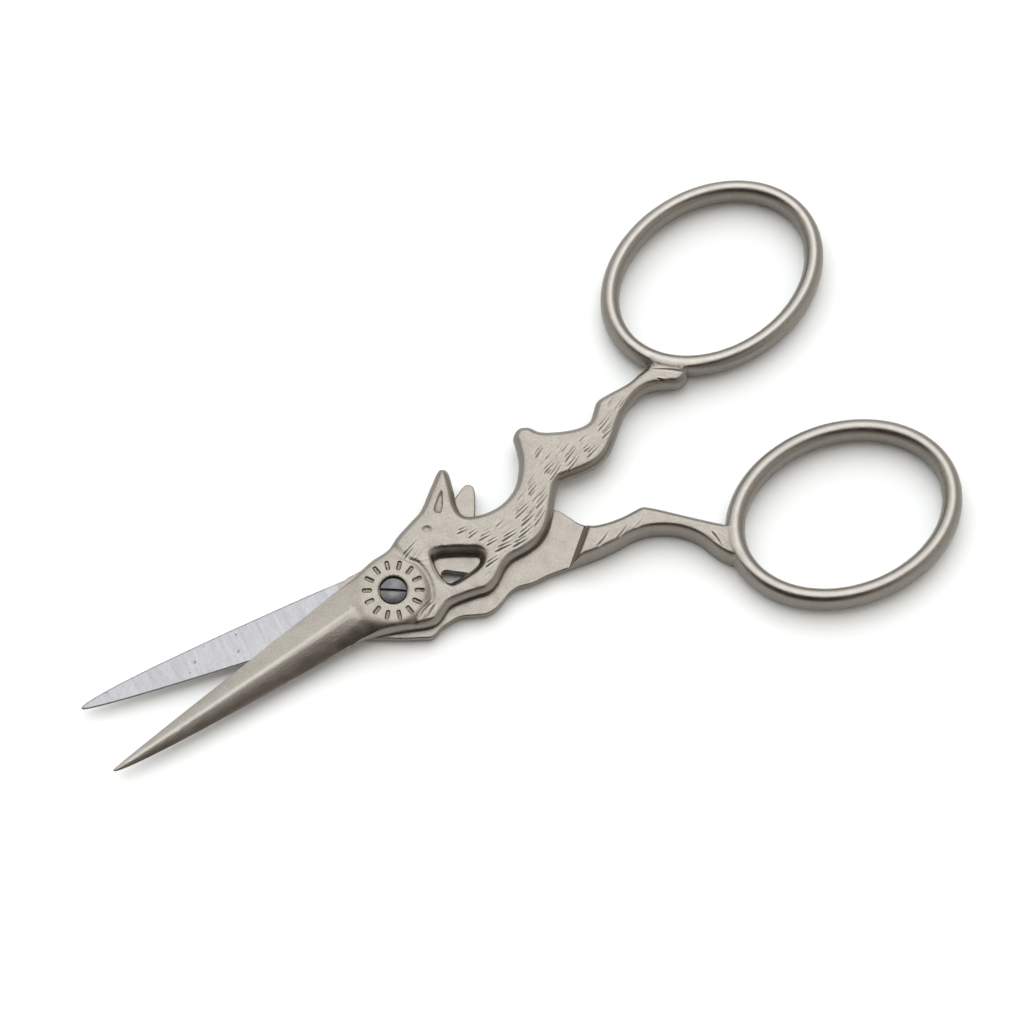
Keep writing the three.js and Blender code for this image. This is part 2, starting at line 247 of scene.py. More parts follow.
def even_out(loop: np.ndarray, spacing: float) -> np.ndarray:
    """Space a closed outline evenly between its sharp corners, which stay.

    Args:
        loop: Points of the outline in order.
        spacing: Wanted distance between points.

    Returns:
        The evened outline.
    """
    ahead = np.roll(loop, -1, axis=0) - loop
    heading = np.arctan2(ahead[:, 1], ahead[:, 0])
    bend = np.abs((heading - np.roll(heading, 1) + math.pi) % (2 * math.pi) - math.pi)
    sharp = np.flatnonzero(bend > math.radians(SHARP_BEND))
    if len(sharp) == 0:
        sharp = np.array([0])
    rows: list[np.ndarray] = []
    for first, last in zip(sharp, np.roll(sharp, -1)):
        stop = last if last > first else last + len(loop)
        piece = loop[np.arange(first, stop + 1) % len(loop)]
        along = np.concatenate([[0.0], np.cumsum(np.hypot(*np.diff(piece, axis=0).T))])
        steps = max(1, round(along[-1] / spacing))
        marks = np.linspace(0.0, along[-1], steps + 1)[:-1]
        rows.append(np.column_stack([np.interp(marks, along, piece[:, k]) for k in (0, 1)]))
    return np.vstack(rows)


def inside(points: np.ndarray, loop: np.ndarray) -> np.ndarray:
    """Tell which points lie inside a closed outline.

    Args:
        points: Points to test, one row each.
        loop: Points of the outline in order.

    Returns:
        True for each point inside.
    """
    x, y = points[:, 0], points[:, 1]
    odd = np.zeros(len(points), bool)
    for (ax, ay), (bx, by) in zip(loop, np.roll(loop, -1, axis=0)):
        if ay != by:
            crosses = (ay > y) != (by > y)
            odd ^= crosses & (x < ax + (y - ay) * ((bx - ax) / (by - ay)))
    return odd


def smooth_line(corners: Sequence[Point], spacing: float) -> np.ndarray:
    """Lay a smooth open curve through corners.

    Args:
        corners: Points that the curve goes through, in order.
        spacing: Largest distance between neighbouring points.

    Returns:
        Points along the curve, one row each.
    """
    loop = smooth_loop(corners, spacing)
    last = int(np.argmin(np.hypot(*(loop - np.array(corners[-1])).T)))
    return loop[: last + 1]


def left_of(ahead: np.ndarray) -> np.ndarray:
    """Give the unit direction to the left of each direction."""
    return np.column_stack([-ahead[:, 1], ahead[:, 0]]) / np.hypot(*ahead.T)[:, None]


def closed_rail(loop: np.ndarray) -> np.ndarray:
    """Give a closed outline as a line that ends where it starts."""
    return np.vstack([loop, loop[:1]])


def crisp_edge(d: np.ndarray, edge: np.ndarray, flat: np.ndarray) -> np.ndarray:
    """Go from the outline to a flat face within a hair's breadth.

    Args:
        d: Distance from the outline.
        edge: Height of the outline.
        flat: Height of the face.

    Returns:
        Height at each distance.
    """
    return np.where(d < CRISP, edge + (flat - edge) * d / CRISP, flat)


class EdgeField:
    """Distance from points to one or more outlines."""

    def __init__(self, lines: Iterable[np.ndarray], closed: bool = True) -> None:
        """Store the outlines for nearest-point searches.

        Args:
            lines: Outlines, each as points in order.
            closed: Whether each outline returns to its start.
        """
        starts: list[np.ndarray] = []
        before: list[np.ndarray] = []
        after: list[np.ndarray] = []
        for line in lines:
            starts.append(line)
            before.append(np.roll(line, 1, axis=0))
            after.append(np.roll(line, -1, axis=0))
            if not closed:
                before[-1][0] = line[0]
                after[-1][-1] = line[-1]
        self.points = np.vstack(starts)
        self.neighbours = (np.vstack(before), np.vstack(after))
        self.tree = KDTree(len(self.points))
        for i, (x, y) in enumerate(self.points):
            self.tree.insert((x, y, 0.0), i)
        self.tree.balance()

    def distance(self, points: np.ndarray) -> np.ndarray:
        """Measure the shortest distance of each point to the outlines.

        Args:
            points: Points in the plane, one row each.

        Returns:
            The distances.
        """
        nearest = np.array([self.tree.find((x, y, 0.0))[1] for x, y in points], int)
        best = np.full(len(points), np.inf)
        for other in self.neighbours:
            start = self.points[nearest]
            along = other[nearest] - start
            length = np.maximum((along**2).sum(1), 1e-18)
            share = np.clip(((points - start) * along).sum(1) / length, 0.0, 1.0)
            best = np.minimum(best, np.hypot(*(points - start - along * share[:, None]).T))
        return best


class Cut(float, Enum):
    """How deep a carved line is at its middle."""

    STRONG = 0.085
    CLEAR = 0.062
    FAINT = 0.034


@dataclass(frozen=True)
class Stroke:
    """One carved line, blunt where it starts and fine where it ends.

    Attributes:
        start: Where the line starts.
        end: Where the line ends.
        depth: Depth at its middle.
        width: Width at its middle.
        sag: How far its middle lies to the left of the straight line.
        lip: Height of the raised edge beside the line, as a share of the depth.
        lip_place: Distance of that edge's crest from the line's middle, in half widths.
        lip_reach: Distance from that crest to its foot, in half widths.
        swelling: Share of the length over which the line widens from its start.
        tapering: Share of the length over which it narrows to its end.
        bluntness: Powers that shape its start and its end; the smaller, the blunter.
        rail_points: Number of points along each line that the mesh follows.
    """

    start: Point
    end: Point
    depth: float
    width: float = 0.24
    sag: float = 0.0
    lip: float = 0.25
    lip_place: float = 1.8
    lip_reach: float = 0.8
    swelling: float = 0.15
    tapering: float = 0.75
    bluntness: tuple[float, float] = (0.6, 0.7)
    rail_points: int = 13

    def axes(self) -> tuple[np.ndarray, np.ndarray, np.ndarray]:
        """Give the line's directions.

        Returns:
            Its start, the way from there to its end, and the unit direction to the left.
        """
        start = np.array(self.start)
        way = np.array(self.end) - start
        return start, way, np.array([-way[1], way[0]]) / math.hypot(*way)

    def swell(self, t: np.ndarray) -> np.ndarray:
        """Give the share of the full width at each share of the length.

        Args:
            t: Shares of the length.

        Returns:
            Shares of the width.
        """
        widening, narrowing = t / self.swelling, (1.0 - t) / self.tapering
        first, last = self.bluntness
        return np.clip(widening, 0.0, 1.0) ** first * np.clip(narrowing, 0.0, 1.0) ** last

    def bow(self, t: np.ndarray) -> np.ndarray:
        """Give how far the line lies to the left of the straight one at each share of the length."""
        return self.sag * 4 * t * (1 - t)

    def rails(self) -> list[np.ndarray]:
        """Give the lines that the mesh follows: the bottom, both edges and both raised crests.

        Returns:
            Points along each line.
        """
        start, way, left = self.axes()
        t = np.linspace(0.0, 1.0, self.rail_points)
        middle = start + way * t[:, None] + left * self.bow(t)[:, None]
        half = left * (self.width / 2 * self.swell(t))[:, None]
        places = (-self.lip_place, -1.0, 1.0, self.lip_place)
        return [middle, *((middle + place * half)[1:-1] for place in places)]

    def partner(
        self, gap: float = 0.36, starts: float = 0.22, ends: float = 1.08, depth: float = 0.6,
        width: float = 0.75,
    ) -> "Stroke":
        """Give a finer line that starts a little later on the left of this one.

        Args:
            gap: Distance between the two lines.
            starts: Where the finer line starts, as a share of this line's length.
            ends: Where it ends, as a share of this line's length.
            depth: Its depth, as a share of this line's.
            width: Its width, as a share of this line's.

        Returns:
            The finer line.
        """
        start, way, left = self.axes()
        first, last = (start + share * way + left * gap for share in (starts, ends))
        return Stroke(tuple(first), tuple(last), depth * self.depth, width * self.width, self.sag)

    def sink(self, points: np.ndarray) -> np.ndarray:
        """Give how deep the line is at each point.

        Args:
            points: Points in the plane, one row each.

        Returns:
            The depth, below 0 on a raised edge.
        """
        start, way, left = self.axes()
        length = math.hypot(*way)
        t = np.clip(((points - start) @ (way / length)) / length, 0.0, 1.0)
        swell = self.swell(t)
        half = np.maximum(self.width / 2 * swell, 1e-6)
        off = np.abs((points - start) @ left - self.bow(t)) / half
        groove = np.clip(1.0 - off, 0.0, 1.0)
        lip = np.clip(1.0 - np.abs(off - self.lip_place) / self.lip_reach, 0.0, 1.0)
        return self.depth * swell * (groove - self.lip * lip)


@dataclass
class Pocket:
    """A sunk patch with a flat or crowned floor.

    Attributes:
        loop: Outline of the patch.
        depth: Depth just inside its wall.
        wall: Width of the sloping wall.
        crown: How far the middle of the floor rises again.
        crown_place: Distance from the rim at which that rise is full, in widths of the wall.
        least_floor: Smallest size of the floor, as a share of the outline.
    """

    loop: np.ndarray
    depth: float
    wall: float
    crown: float = 0.0
    crown_place: float = 3.0
    least_floor: float = 0.2

    def rails(self) -> list[np.ndarray]:
        """Give the closed lines that the mesh follows: the rim and the foot of the wall.

        Returns:
            Points along each line.
        """
        middle = self.loop.mean(0)
        away = self.loop - middle
        reach = np.hypot(*away.T)[:, None]
        foot = middle + away * np.maximum(1.0 - self.wall / reach, self.least_floor)
        return [closed_rail(self.loop), closed_rail(foot)]

    def sink(self, points: np.ndarray) -> np.ndarray:
        """Give how deep the patch is at each point.

        Args:
            points: Points in the plane, one row each.

        Returns:
            The depth, 0 outside the patch.
        """
        low, high = self.loop.min(0), self.loop.max(0)
        near = np.flatnonzero(((points >= low) & (points <= high)).all(1))
        depth = np.zeros(len(points))
        near = near[inside(points[near], self.loop)]
        if len(near):
            d = EdgeField([self.loop]).distance(points[near])
            depth[near] = self.depth * smoothstep(0.0, self.wall, d)
            depth[near] -= self.crown * smoothstep(self.wall, self.crown_place * self.wall, d)
        return depth


Carving = Stroke | Pocket


def carve_depth(points: np.ndarray, carvings: Iterable[Carving]) -> np.ndarray:
    """Give the deepest carving at each point.

    Args:
        points: Points in the plane, one row each.
        carvings: Carved lines and patches.

    Returns:
        Depth at each point, below 0 on a raised edge.
    """
    depth = np.zeros(len(points))
    raised = np.zeros(len(points))
    for carving in carvings:
        sink = carving.sink(points)
        depth = np.maximum(depth, sink)
        raised = np.minimum(raised, sink)
    return np.where(depth > 0.0, depth, raised)


def carve_rails(carvings: Iterable[Carving]) -> list[np.ndarray]:
    """Give the lines that the mesh follows along every carving."""
    return [rail for carving in carvings for rail in carving.rails()]


@dataclass(frozen=True)
class Shoulder:
    """The stamped edge of a plate: an upright wall, then a sloping band, then a slightly crowned top.

    Attributes:
        draft: How far the wall leans in.
        band: Width of the sloping band.
        drop: Height of the band.
        crown: Extra fall of the top next to the band.
        crown_reach: Distance from the edge at which the crown has faded out.
        crown_start: Distance from the edge at which it starts to fade.
        rounding: Power that rounds the band into the top.
    """

    draft: float = 0.08
    band: float = 0.62
    drop: float = 0.68
    crown: float = 0.06
    crown_reach: float = 1.9
    crown_start: float = 0.3
    rounding: float = 1.5

    def height(self, d: np.ndarray, edge: np.ndarray, top: float | np.ndarray) -> np.ndarray:
        """Give the height of the surface near the edge.

        Args:
            d: Distance from the edge.
            edge: Height at the edge itself.
            top: Height of the flat middle.

        Returns:
            Height at each distance.
        """
        share = np.clip((d - self.draft) / self.band, 0.0, 1.0)
        band = top - self.drop * (1.0 - share) ** self.rounding
        band -= self.crown * (1.0 - smoothstep(self.crown_start, self.crown_reach, d))
        foot = top - self.drop - self.crown
        wall = edge + (foot - edge) * np.clip(d / self.draft, 0.0, 1.0)
        return np.where(d < self.draft, wall, band)


class EdgeSide(Enum):
    """The side of a blade's axis that its cutting edge lies on."""

    PLUS_Y = 1
    MINUS_Y = -1


@dataclass(frozen=True)
class Blade:
    """A slender half-round blade, flat on the side that meets the other blade.

    A pair of numbers is the value at the tip and its change from there to the root.

    Attributes:
        edge_reach: Distance from the axis to the cutting edge at the root.
        edge_taper: How fast the cutting edge nears the axis towards the tip.
        spine_reach: Distance from the axis to the spine at the root.
        spine_taper: How fast the spine nears the axis towards the tip.
        edge_side: The side of the axis that the cutting edge lies on.
        length: Distance from the pivot to the tip.
        root: Distance from the pivot to the place where the taper starts.
        edge_slope: Slope of the rounded back at the cutting edge.
        ridge_slope: Slope of the cutting edge's facet where it meets the ridge.
        land: Thickness of the cutting edge.
        blunt: Half of the tip's width.
        blunt_end: Share of the length over which the tip is rounded.
        ridge_root: Distance of the ridge from the axis at the root, towards the cutting edge.
        ridge_tip: The same at the tip.
        ridge_fillet: Rounding of the ridge, growing with the square of the distance from the tip.
        spine_fall: Share of the height that the back loses straight away from the ridge.
        spine_wall: Share of the height that it keeps until close to the spine.
        fade: Stretch of X over which the blade sinks into the figure.
        crowding: How strongly the outline's points crowd towards the tip.
    """

    edge_reach: float
    edge_taper: float
    spine_reach: float
    spine_taper: float
    edge_side: EdgeSide
    length: float = 36.5
    root: float = 2.5
    edge_slope: float = 0.54
    ridge_slope: float = 0.3
    land: float = 0.06
    blunt: float = 0.085
    blunt_end: float = 0.008
    ridge_root: float = 0.72
    ridge_tip: float = -0.12
    ridge_fillet: Range = (0.06, 0.3)
    spine_fall: Range = (0.55, -0.35)
    spine_wall: Range = (0.06, 0.14)
    fade: Range = (-4.0, -0.5)
    crowding: float = 1.4

    def share(self, x: np.ndarray) -> np.ndarray:
        """Give the distance from the tip as a share of the blade's length."""
        return np.clip((x + self.length) / (self.length - self.root), 1e-5, 1.0)

    def sides(self, x: np.ndarray) -> tuple[np.ndarray, np.ndarray]:
        """Give the places of the cutting edge and of the spine.

        Args:
            x: Places along the blade.

        Returns:
            Y of the cutting edge and of the spine at each place.
        """
        share = self.share(x)
        blunt = self.blunt * (1.0 - share) * np.sqrt(np.clip(share / self.blunt_end, 0.0, 1.0))
        edge = self.edge_side.value * (blunt + self.edge_reach * share**self.edge_taper)
        spine = -self.edge_side.value * (blunt + self.spine_reach * share**self.spine_taper)
        return edge, spine

    def outline(self) -> np.ndarray:
        """Give the blade's outline, running from the root round the tip.

        Returns:
            Points along the outline, closer together towards the tip.
        """
        span = self.length - self.root
        count = math.ceil(1.3 * span / OUTLINE_SPACING)
        x = -self.length + span * np.linspace(0.0, 1.0, count) ** self.crowding
        edge, spine = self.sides(x)
        return np.vstack([np.column_stack([x, edge])[::-1], np.column_stack([x, spine])[1:]])

    def ridge(self, x: np.ndarray) -> np.ndarray:
        """Give the place of the ridge of the rounded back.

        Args:
            x: Places along the blade.

        Returns:
            Y of the ridge at each place.
        """
        share = self.share(x)
        from_axis = self.ridge_tip + (self.ridge_root - self.ridge_tip) * share
        return self.edge_side.value * from_axis * share**0.2

    def rise(self, points: np.ndarray) -> np.ndarray:
        """Give how far the rounded back stands above the flat side at each point.

        Args:
            points: Points in the plane, one row each.

        Returns:
            The rise, or a large negative number off the blade.
        """
        x, y = points.T
        share = self.share(x)
        edge, spine = self.sides(x)
        ridge = self.ridge(x)
        width = np.abs(edge - ridge)
        from_edge = np.minimum((edge - y) / (edge - ridge), 1.6)
        bend = (self.edge_slope - self.ridge_slope) / 2
        facet = width * (self.edge_slope * from_edge - bend * from_edge**2)
        high = width * (self.edge_slope + self.ridge_slope) / 2
        to_spine = np.clip((y - ridge) / (spine - ridge), 0.0, 1.0)
        fall, wall = (tip + change * share for tip, change in (self.spine_fall, self.spine_wall))
        back = high * (1.0 - fall * to_spine - (1.0 - fall - wall) * to_spine**2 - wall * to_spine**9)
        fillet = self.ridge_fillet[0] + self.ridge_fillet[1] * share**2
        rise = self.land - smooth_max(-facet, -back, fillet)
        off = (x < -self.length - 0.01) | ((edge - y) * (y - spine) < -1e-4)
        return np.where(off, NOWHERE, rise - smoothstep(*self.fade, x))


@dataclass(frozen=True)
class FingerRing:
    """An oval ring of full rounded section, filled up on its outer side where the paw holds it.

    Attributes:
        grip: Point on the middle line that the hind paw holds.
        place: Place of that point around the oval, in degrees.
        tilt: Turn of the oval's long axis, in degrees.
        long: Half of the middle line's long axis.
        short: Half of its short axis.
        half_width: Half of the section's width.
        height: Height of the crest.
        squareness: Power of the section's rounding, 2 for an ellipse.
        fill: Share by which the outer side is filled up at the grip.
        fill_reach: Distance from the grip over which that fades.
        spacing: Spacing of points along the middle line.
        margin: Distance from the middle line at which the ring ends, in half widths.
    """

    grip: Point
    place: float
    tilt: float
    long: float = 12.4
    short: float = 9.3
    half_width: float = 1.08
    height: float = 3.5
    squareness: float = 2.5
    fill: float = 0.5
    fill_reach: float = 3.4
    spacing: float = 0.15
    margin: float = 1.02

    @property
    def centre(self) -> Point:
        """Middle of the oval, worked out from its grip.

        Returns:
            The point.
        """
        a = math.radians(self.place)
        on_oval = turn(np.array([[self.long * math.cos(a), self.short * math.sin(a)]]), self.tilt)[0]
        return self.grip[0] - on_oval[0], self.grip[1] - on_oval[1]

    def loop(self, offset: float, spacing: float = OUTLINE_SPACING) -> np.ndarray:
        """Give the oval at a distance outside its middle line."""
        return ellipse_loop(self.centre, self.long + offset, self.short + offset, self.tilt, spacing)

    def middle(self) -> np.ndarray:
        """Give the middle line."""
        return self.loop(0.0, self.spacing)

    def section(self, points: np.ndarray, fill: float = 0.0) -> np.ndarray:
        """Give the section's height at each point.

        Args:
            points: Points in the plane, one row each.
            fill: Share by which the outer side is filled up where the paw holds the ring.

        Returns:
            The height, from 0 at the rim to 1 on the crest, or below 0 off the ring.
        """
        middle = self.middle()
        d = EdgeField([middle]).distance(points) / self.half_width
        near = np.exp(-((np.hypot(*(points - np.array(self.grip)).T) / self.fill_reach) ** 2))
        filled = np.where(inside(points, middle), 0.0, fill * near)
        across = np.clip((d - filled) / (1.0 - filled), 0.0, 1.0)
        return np.where(d < self.margin, np.sqrt(1.0 - across**self.squareness), NOWHERE)


@dataclass(frozen=True)
class Grain:
    """How finely a face is divided.

    Attributes:
        rims: Distances from the outline at which rows of points follow it.
        pitch: Distance between points away from the outline.
    """

    rims: tuple[float, ...]
    pitch: float


CARVED_GRAIN = Grain((0.03, 0.07, 0.12, 0.19, 0.28, 0.38, 0.47, 0.56, 0.65, 0.74, 0.85, 1.0), 0.2)
PLAIN_GRAIN = Grain((0.03, 0.07, 0.15, 0.28, 0.45, 0.67, 0.95), 0.45)

Surface = Callable[[np.ndarray], np.ndarray]
Face = tuple[np.ndarray, np.ndarray]


class Relief:
    """A closed body between two carved faces that meet along a common outline.

    Attributes:
        EVERY_PLATE: Number that stands for all plates.
        SPACING: Spacing of points along the common outline.
        SHORTEST_LOOP: Outlines with no more points than this are left out.
        FULL_ROW: Rows nearer to the outline than this keep every point.
        ROW_SHARE: Share of its row's distance that a point keeps from every outline.
        GRID_SHARE: Share of the pitch that the grid keeps from the innermost row.
        CLEAR_OF_RIM: Distance that a rail keeps from the outline.
        CLEAR_OF_RAIL: Distance that loose points keep from a rail.
    """

    EVERY_PLATE = -1
    SPACING = 0.13
    SHORTEST_LOOP = 8
    FULL_ROW = 0.45
    ROW_SHARE = 0.93
    GRID_SHARE = 0.6
    CLEAR_OF_RIM = 0.04
    CLEAR_OF_RAIL = 0.055

    def __init__(self, plates: list[np.ndarray], holes: list[tuple[int, np.ndarray]]) -> None:
        """Join plates and cut holes to find the common outline.

        Args:
            plates: Outlines of the plates that are joined.
            holes: Number of a plate, or EVERY_PLATE, and the outline that is cut out of it.
        """
        self.plates = plates
        self.holes = holes
        self.outline = [even_out(loop, self.SPACING) for loop in self._joined()]

    def _joined(self) -> list[np.ndarray]:
        """Find the outlines of the joined plates.

        Returns:
            The outlines, each with the material on its left.
        """
        loops = [*self.plates, *(hole for _, hole in self.holes)]
        points, faces = self._triangles(loops, [], np.zeros((0, 2)))
        faces = faces[self._covers(points[faces].mean(1))]
        edges = np.vstack([faces[:, [0, 1]], faces[:, [1, 2]], faces[:, [2, 0]]])
        known = set(map(tuple, edges.tolist()))
        follow = {a: b for a, b in known if (b, a) not in known}
        outlines: list[np.ndarray] = []
        while follow:
            start = min(follow)
            chain = [start]
            step = follow.pop(start)
            while step != start:
                chain.append(step)
                step = follow.pop(step)
            if len(chain) > self.SHORTEST_LOOP:
                outlines.append(points[chain])
        return outlines

    def _covers(self, points: np.ndarray) -> np.ndarray:
        """Tell which points lie on the joined plates.

        Args:
            points: Points in the plane, one row each.

        Returns:
            True for each point on a plate.
        """
        covered = np.zeros(len(points), bool)
        for number, plate in enumerate(self.plates):
            on_plate = inside(points, plate)
            for owner, hole in self.holes:
                if owner in (number, self.EVERY_PLATE):
                    on_plate &= ~inside(points, hole)
            covered |= on_plate
        return covered

    @staticmethod
    def _triangles(loops: list[np.ndarray], rails: list[np.ndarray], loose: np.ndarray) -> Face:
        """Triangulate the plane through closed loops, open rails and loose points.

        Args:
            loops: Closed outlines that the triangles keep to.
            rails: Open lines that the triangles keep to.
            loose: Further points.

        Returns:
            Points, and triangles that turn left.
        """
        rows: list[np.ndarray] = []
        edges: list[tuple[int, int]] = []
        count = 0
        for line, closed in [(loop, True) for loop in loops] + [(rail, False) for rail in rails]:
            rows.append(line)
            edges += [(count + i, count + i + 1) for i in range(len(line) - 1)]
            if closed:
                edges.append((count + len(line) - 1, count))
            count += len(line)
        rows.append(loose)
        flat = np.vstack(rows)
        made = delaunay_2d_cdt([Vector(p) for p in flat.tolist()], edges, [], 0, 1e-5, False)
        points = np.array([tuple(p) for p in made[0]])
        faces = np.array([f for f in made[2] if len(f) == 3], int)
        a, b, c = (points[faces[:, k]] for k in range(3))
        area = (b - a)[:, 0] * (c - a)[:, 1] - (b - a)[:, 1] * (c - a)[:, 0]
        faces[area < 0] = faces[area < 0][:, ::-1]
        return points, faces[np.abs(area) > 1e-9]

    def _rim_points(self, edge: EdgeField, rims: tuple[float, ...]) -> np.ndarray:
        """Place rows of points inside the outline, with every other point left out of the inner rows.

        Args:
            edge: Distances to the outline.
            rims: Distance of each row.

        Returns:
            The points that no other stretch of the outline comes too near.
        """
        rows: list[np.ndarray] = []
        for number, rim in enumerate(rims):
            for loop in self.outline:
                left = left_of(np.roll(loop, -1, axis=0) - np.roll(loop, 1, axis=0))
                keep = slice(number % 2, None, 1 if rim < self.FULL_ROW else 2)
                rows.append((loop + left * rim)[keep])
        points = np.vstack(rows)
        wanted = np.concatenate([
            np.full(len(row), rim) for rim, row in zip(np.repeat(rims, len(self.outline)), rows)
        ])
        return points[edge.distance(points) > self.ROW_SHARE * wanted]

    def _grid_points(self, edge: EdgeField, grain: Grain) -> np.ndarray:
        """Fill the middle of the plates with evenly spaced points.

        Args:
            edge: Distances to the outline.
            grain: How finely to divide.

        Returns:
            The points, inside the innermost row that follows the outline.
        """
        everything = np.vstack(self.outline)
        low, high = everything.min(0), everything.max(0)
        xs = np.arange(low[0], high[0], grain.pitch)
        ys = np.arange(low[1], high[1], grain.pitch * math.sqrt(3) / 2)
        x, y = np.meshgrid(xs, ys)
        x[1::2] += grain.pitch / 2
        points = np.column_stack([x.ravel(), y.ravel()])
        points = points[self._covers(points)]
        return points[edge.distance(points) > grain.rims[-1] + self.GRID_SHARE * grain.pitch]

    def face(self, surface: Surface, grain: Grain, rails: list[np.ndarray]) -> Face:
        """Make one face of the body.

        Args:
            surface: Height at each point away from the outline.
            grain: How finely to divide.
            rails: Lines that the triangles keep to.

        Returns:
            Points in space, those of the outline first, and triangles that turn left from above.
        """
        edge = EdgeField(self.outline)
        loose = np.vstack([self._rim_points(edge, grain.rims), self._grid_points(edge, grain)])
        rails = [rail for rail in rails if edge.distance(rail).min() > self.CLEAR_OF_RIM]
        if rails:
            loose = loose[EdgeField(rails, closed=False).distance(loose) > self.CLEAR_OF_RAIL]
        points, faces = self._triangles(self.outline, rails, loose)
        faces = faces[self._covers(points[faces].mean(1))]
        used = np.unique(faces)
        place = np.full(len(points), -1)
        place[used] = np.arange(len(used))
        points = points[used]
        return np.column_stack([points, surface(points)]), place[faces]

    def rim_count(self) -> int:
        """Count the points of the outline."""
        return sum(len(loop) for loop in self.outline)


@dataclass
class Carved:
    """A finished closed mesh in the closed position.

    Attributes:
        points: Points in space.
        faces: Triangles that turn left seen from outside.
        shade_and_highlight: Painted shade and painted highlight at each point: its depth in a carved line,
            1 at
        the deepest and on a wall given painted shade, and below 0 on a raised edge and along the ring's
        crest and the blade's ridge, which take a painted highlight.
        upper: True for each triangle of the top face.
    """

    points: np.ndarray
    faces: np.ndarray
    shade_and_highlight: np.ndarray
    upper: np.ndarray


def colour_mix(
    tree: bpy.types.NodeTree, share: bpy.types.NodeSocket
) -> tuple[list[bpy.types.NodeSocket], bpy.types.NodeSocket]:
    """Add a node that blends two colours.

    Args:
        tree: Nodes of a material or of the sky.
        share: Share of the second colour.

    Returns:
        The sockets of the two colours, and the blended colour.
    """
    node = tree.nodes.new("ShaderNodeMix")
    node.data_type = "RGBA"
    tree.links.new(share, node.inputs["Factor"])
    ends = [socket for socket in node.inputs if socket.type == "RGBA"]
    return ends, next(socket for socket in node.outputs if socket.type == "RGBA")


@dataclass(frozen=True)
class Pattern:
    """A noise pattern on a piece's own coordinates.

    Attributes:
        scale: Patches per metre.
        detail: Number of finer layers.
        roughness: Strength of the finer layers.
        stretch: Scale along each axis.
        turned: Turn of the pattern about Z, in degrees.
        height: Height of the relief that it gives the surface, in metres.
    """

    scale: float
    detail: float
    roughness: float
    stretch: tuple[float, float, float] = (1.0, 1.0, 1.0)
    turned: float = 0.0
    height: float = 0.0


class NodePaint:
    """A small kit for building one metal's shader nodes."""

    MIDDLE_RANGE: Range = (0.3, 0.7)

    def __init__(self, name: str) -> None:
        """Start a bare metal with its main shader and object coordinates.

        Args:
            name: Name of the material.
        """
        self.material = bpy.data.materials.new(name)
        self.material.use_nodes = True
        self.tree = self.material.node_tree
        self.shader = self.tree.nodes["Principled BSDF"]
        self.shader.inputs["Metallic"].default_value = 1.0
        self.place = self.tree.nodes.new("ShaderNodeTexCoord").outputs["Object"]

    def link(self, source: bpy.types.NodeSocket, socket: str) -> None:
        """Feed one of the shader's sockets from a node."""
        self.tree.links.new(source, self.shader.inputs[socket])

    def noise(self, pattern: Pattern) -> bpy.types.NodeSocket:
        """Add a noise pattern.

        Args:
            pattern: Its sizes.

        Returns:
            The pattern, from 0 to 1.
        """
        mapping = self.tree.nodes.new("ShaderNodeMapping")
        mapping.inputs["Rotation"].default_value[2] = math.radians(pattern.turned)
        mapping.inputs["Scale"].default_value = pattern.stretch
        texture = self.tree.nodes.new("ShaderNodeTexNoise")
        texture.inputs["Scale"].default_value = pattern.scale
        texture.inputs["Detail"].default_value = pattern.detail
        texture.inputs["Roughness"].default_value = pattern.roughness
        self.tree.links.new(self.place, mapping.inputs["Vector"])
        self.tree.links.new(mapping.outputs["Vector"], texture.inputs["Vector"])
        return texture.outputs["Fac"]

    def attribute(self, name: str) -> bpy.types.NodeSocket:
        """Read a number that the mesh carries at each point.

        Args:
            name: Name of the mesh's attribute.

        Returns:
            The number.
        """
        node = self.tree.nodes.new("ShaderNodeAttribute")
        node.attribute_name = name
        return node.outputs["Fac"]

    def ramp(self, source: bpy.types.NodeSocket, ends: Range) -> bpy.types.NodeSocket:
        """Spread a pattern's middle range over two values.

        Args:
            source: Pattern from 0 to 1.
            ends: Values at the low and the high end of that range.

        Returns:
            The spread pattern.
        """
        node = self.tree.nodes.new("ShaderNodeMapRange")
        for name, values in (("From", self.MIDDLE_RANGE), ("To", ends)):
            node.inputs[name + " Min"].default_value = values[0]
            node.inputs[name + " Max"].default_value = values[1]
        self.tree.links.new(source, node.inputs["Value"])
        return node.outputs["Result"]

    def vary(self, colour: Colour, source: bpy.types.NodeSocket, spread: Range) -> bpy.types.NodeSocket:
        """Vary a colour's brightness with a pattern.

        Args:
            colour: Colour at a brightness of 1.
            source: Pattern from 0 to 1.
            spread: Brightness at the pattern's low and high ends.

        Returns:
            The varied colour.
        """
        ends, mixed = colour_mix(self.tree, self.ramp(source, (0.0, 1.0)))
        for end, brightness in zip(ends, spread):
            end.default_value = [*(min(channel * brightness, 1.0) for channel in colour), 1.0]
        return mixed

    def blend(
        self, source: bpy.types.NodeSocket, colour: Colour, share: bpy.types.NodeSocket
    ) -> bpy.types.NodeSocket:
        """Blend a colour into another by a share.

        Args:
            source: Colour at a share of 0.
            colour: Colour at a share of 1.
            share: The share at each point.

        Returns:
            The blended colour.
        """
        ends, mixed = colour_mix(self.tree, share)
        self.tree.links.new(source, ends[0])
        ends[1].default_value = (*colour, 1.0)
        return mixed

    def bump(self, layers: list[tuple[bpy.types.NodeSocket, Pattern]]) -> None:
        """Give the surface fine relief.

        Args:
            layers: Patterns as nodes, each with the sizes that say how high it is.
        """
        normal = None
        for source, pattern in layers:
            node = self.tree.nodes.new("ShaderNodeBump")
            node.inputs["Distance"].default_value = pattern.height
            self.tree.links.new(source, node.inputs["Height"])
            if normal is not None:
                self.tree.links.new(normal, node.inputs["Normal"])
            normal = node.outputs["Normal"]
        self.link(normal, "Normal")


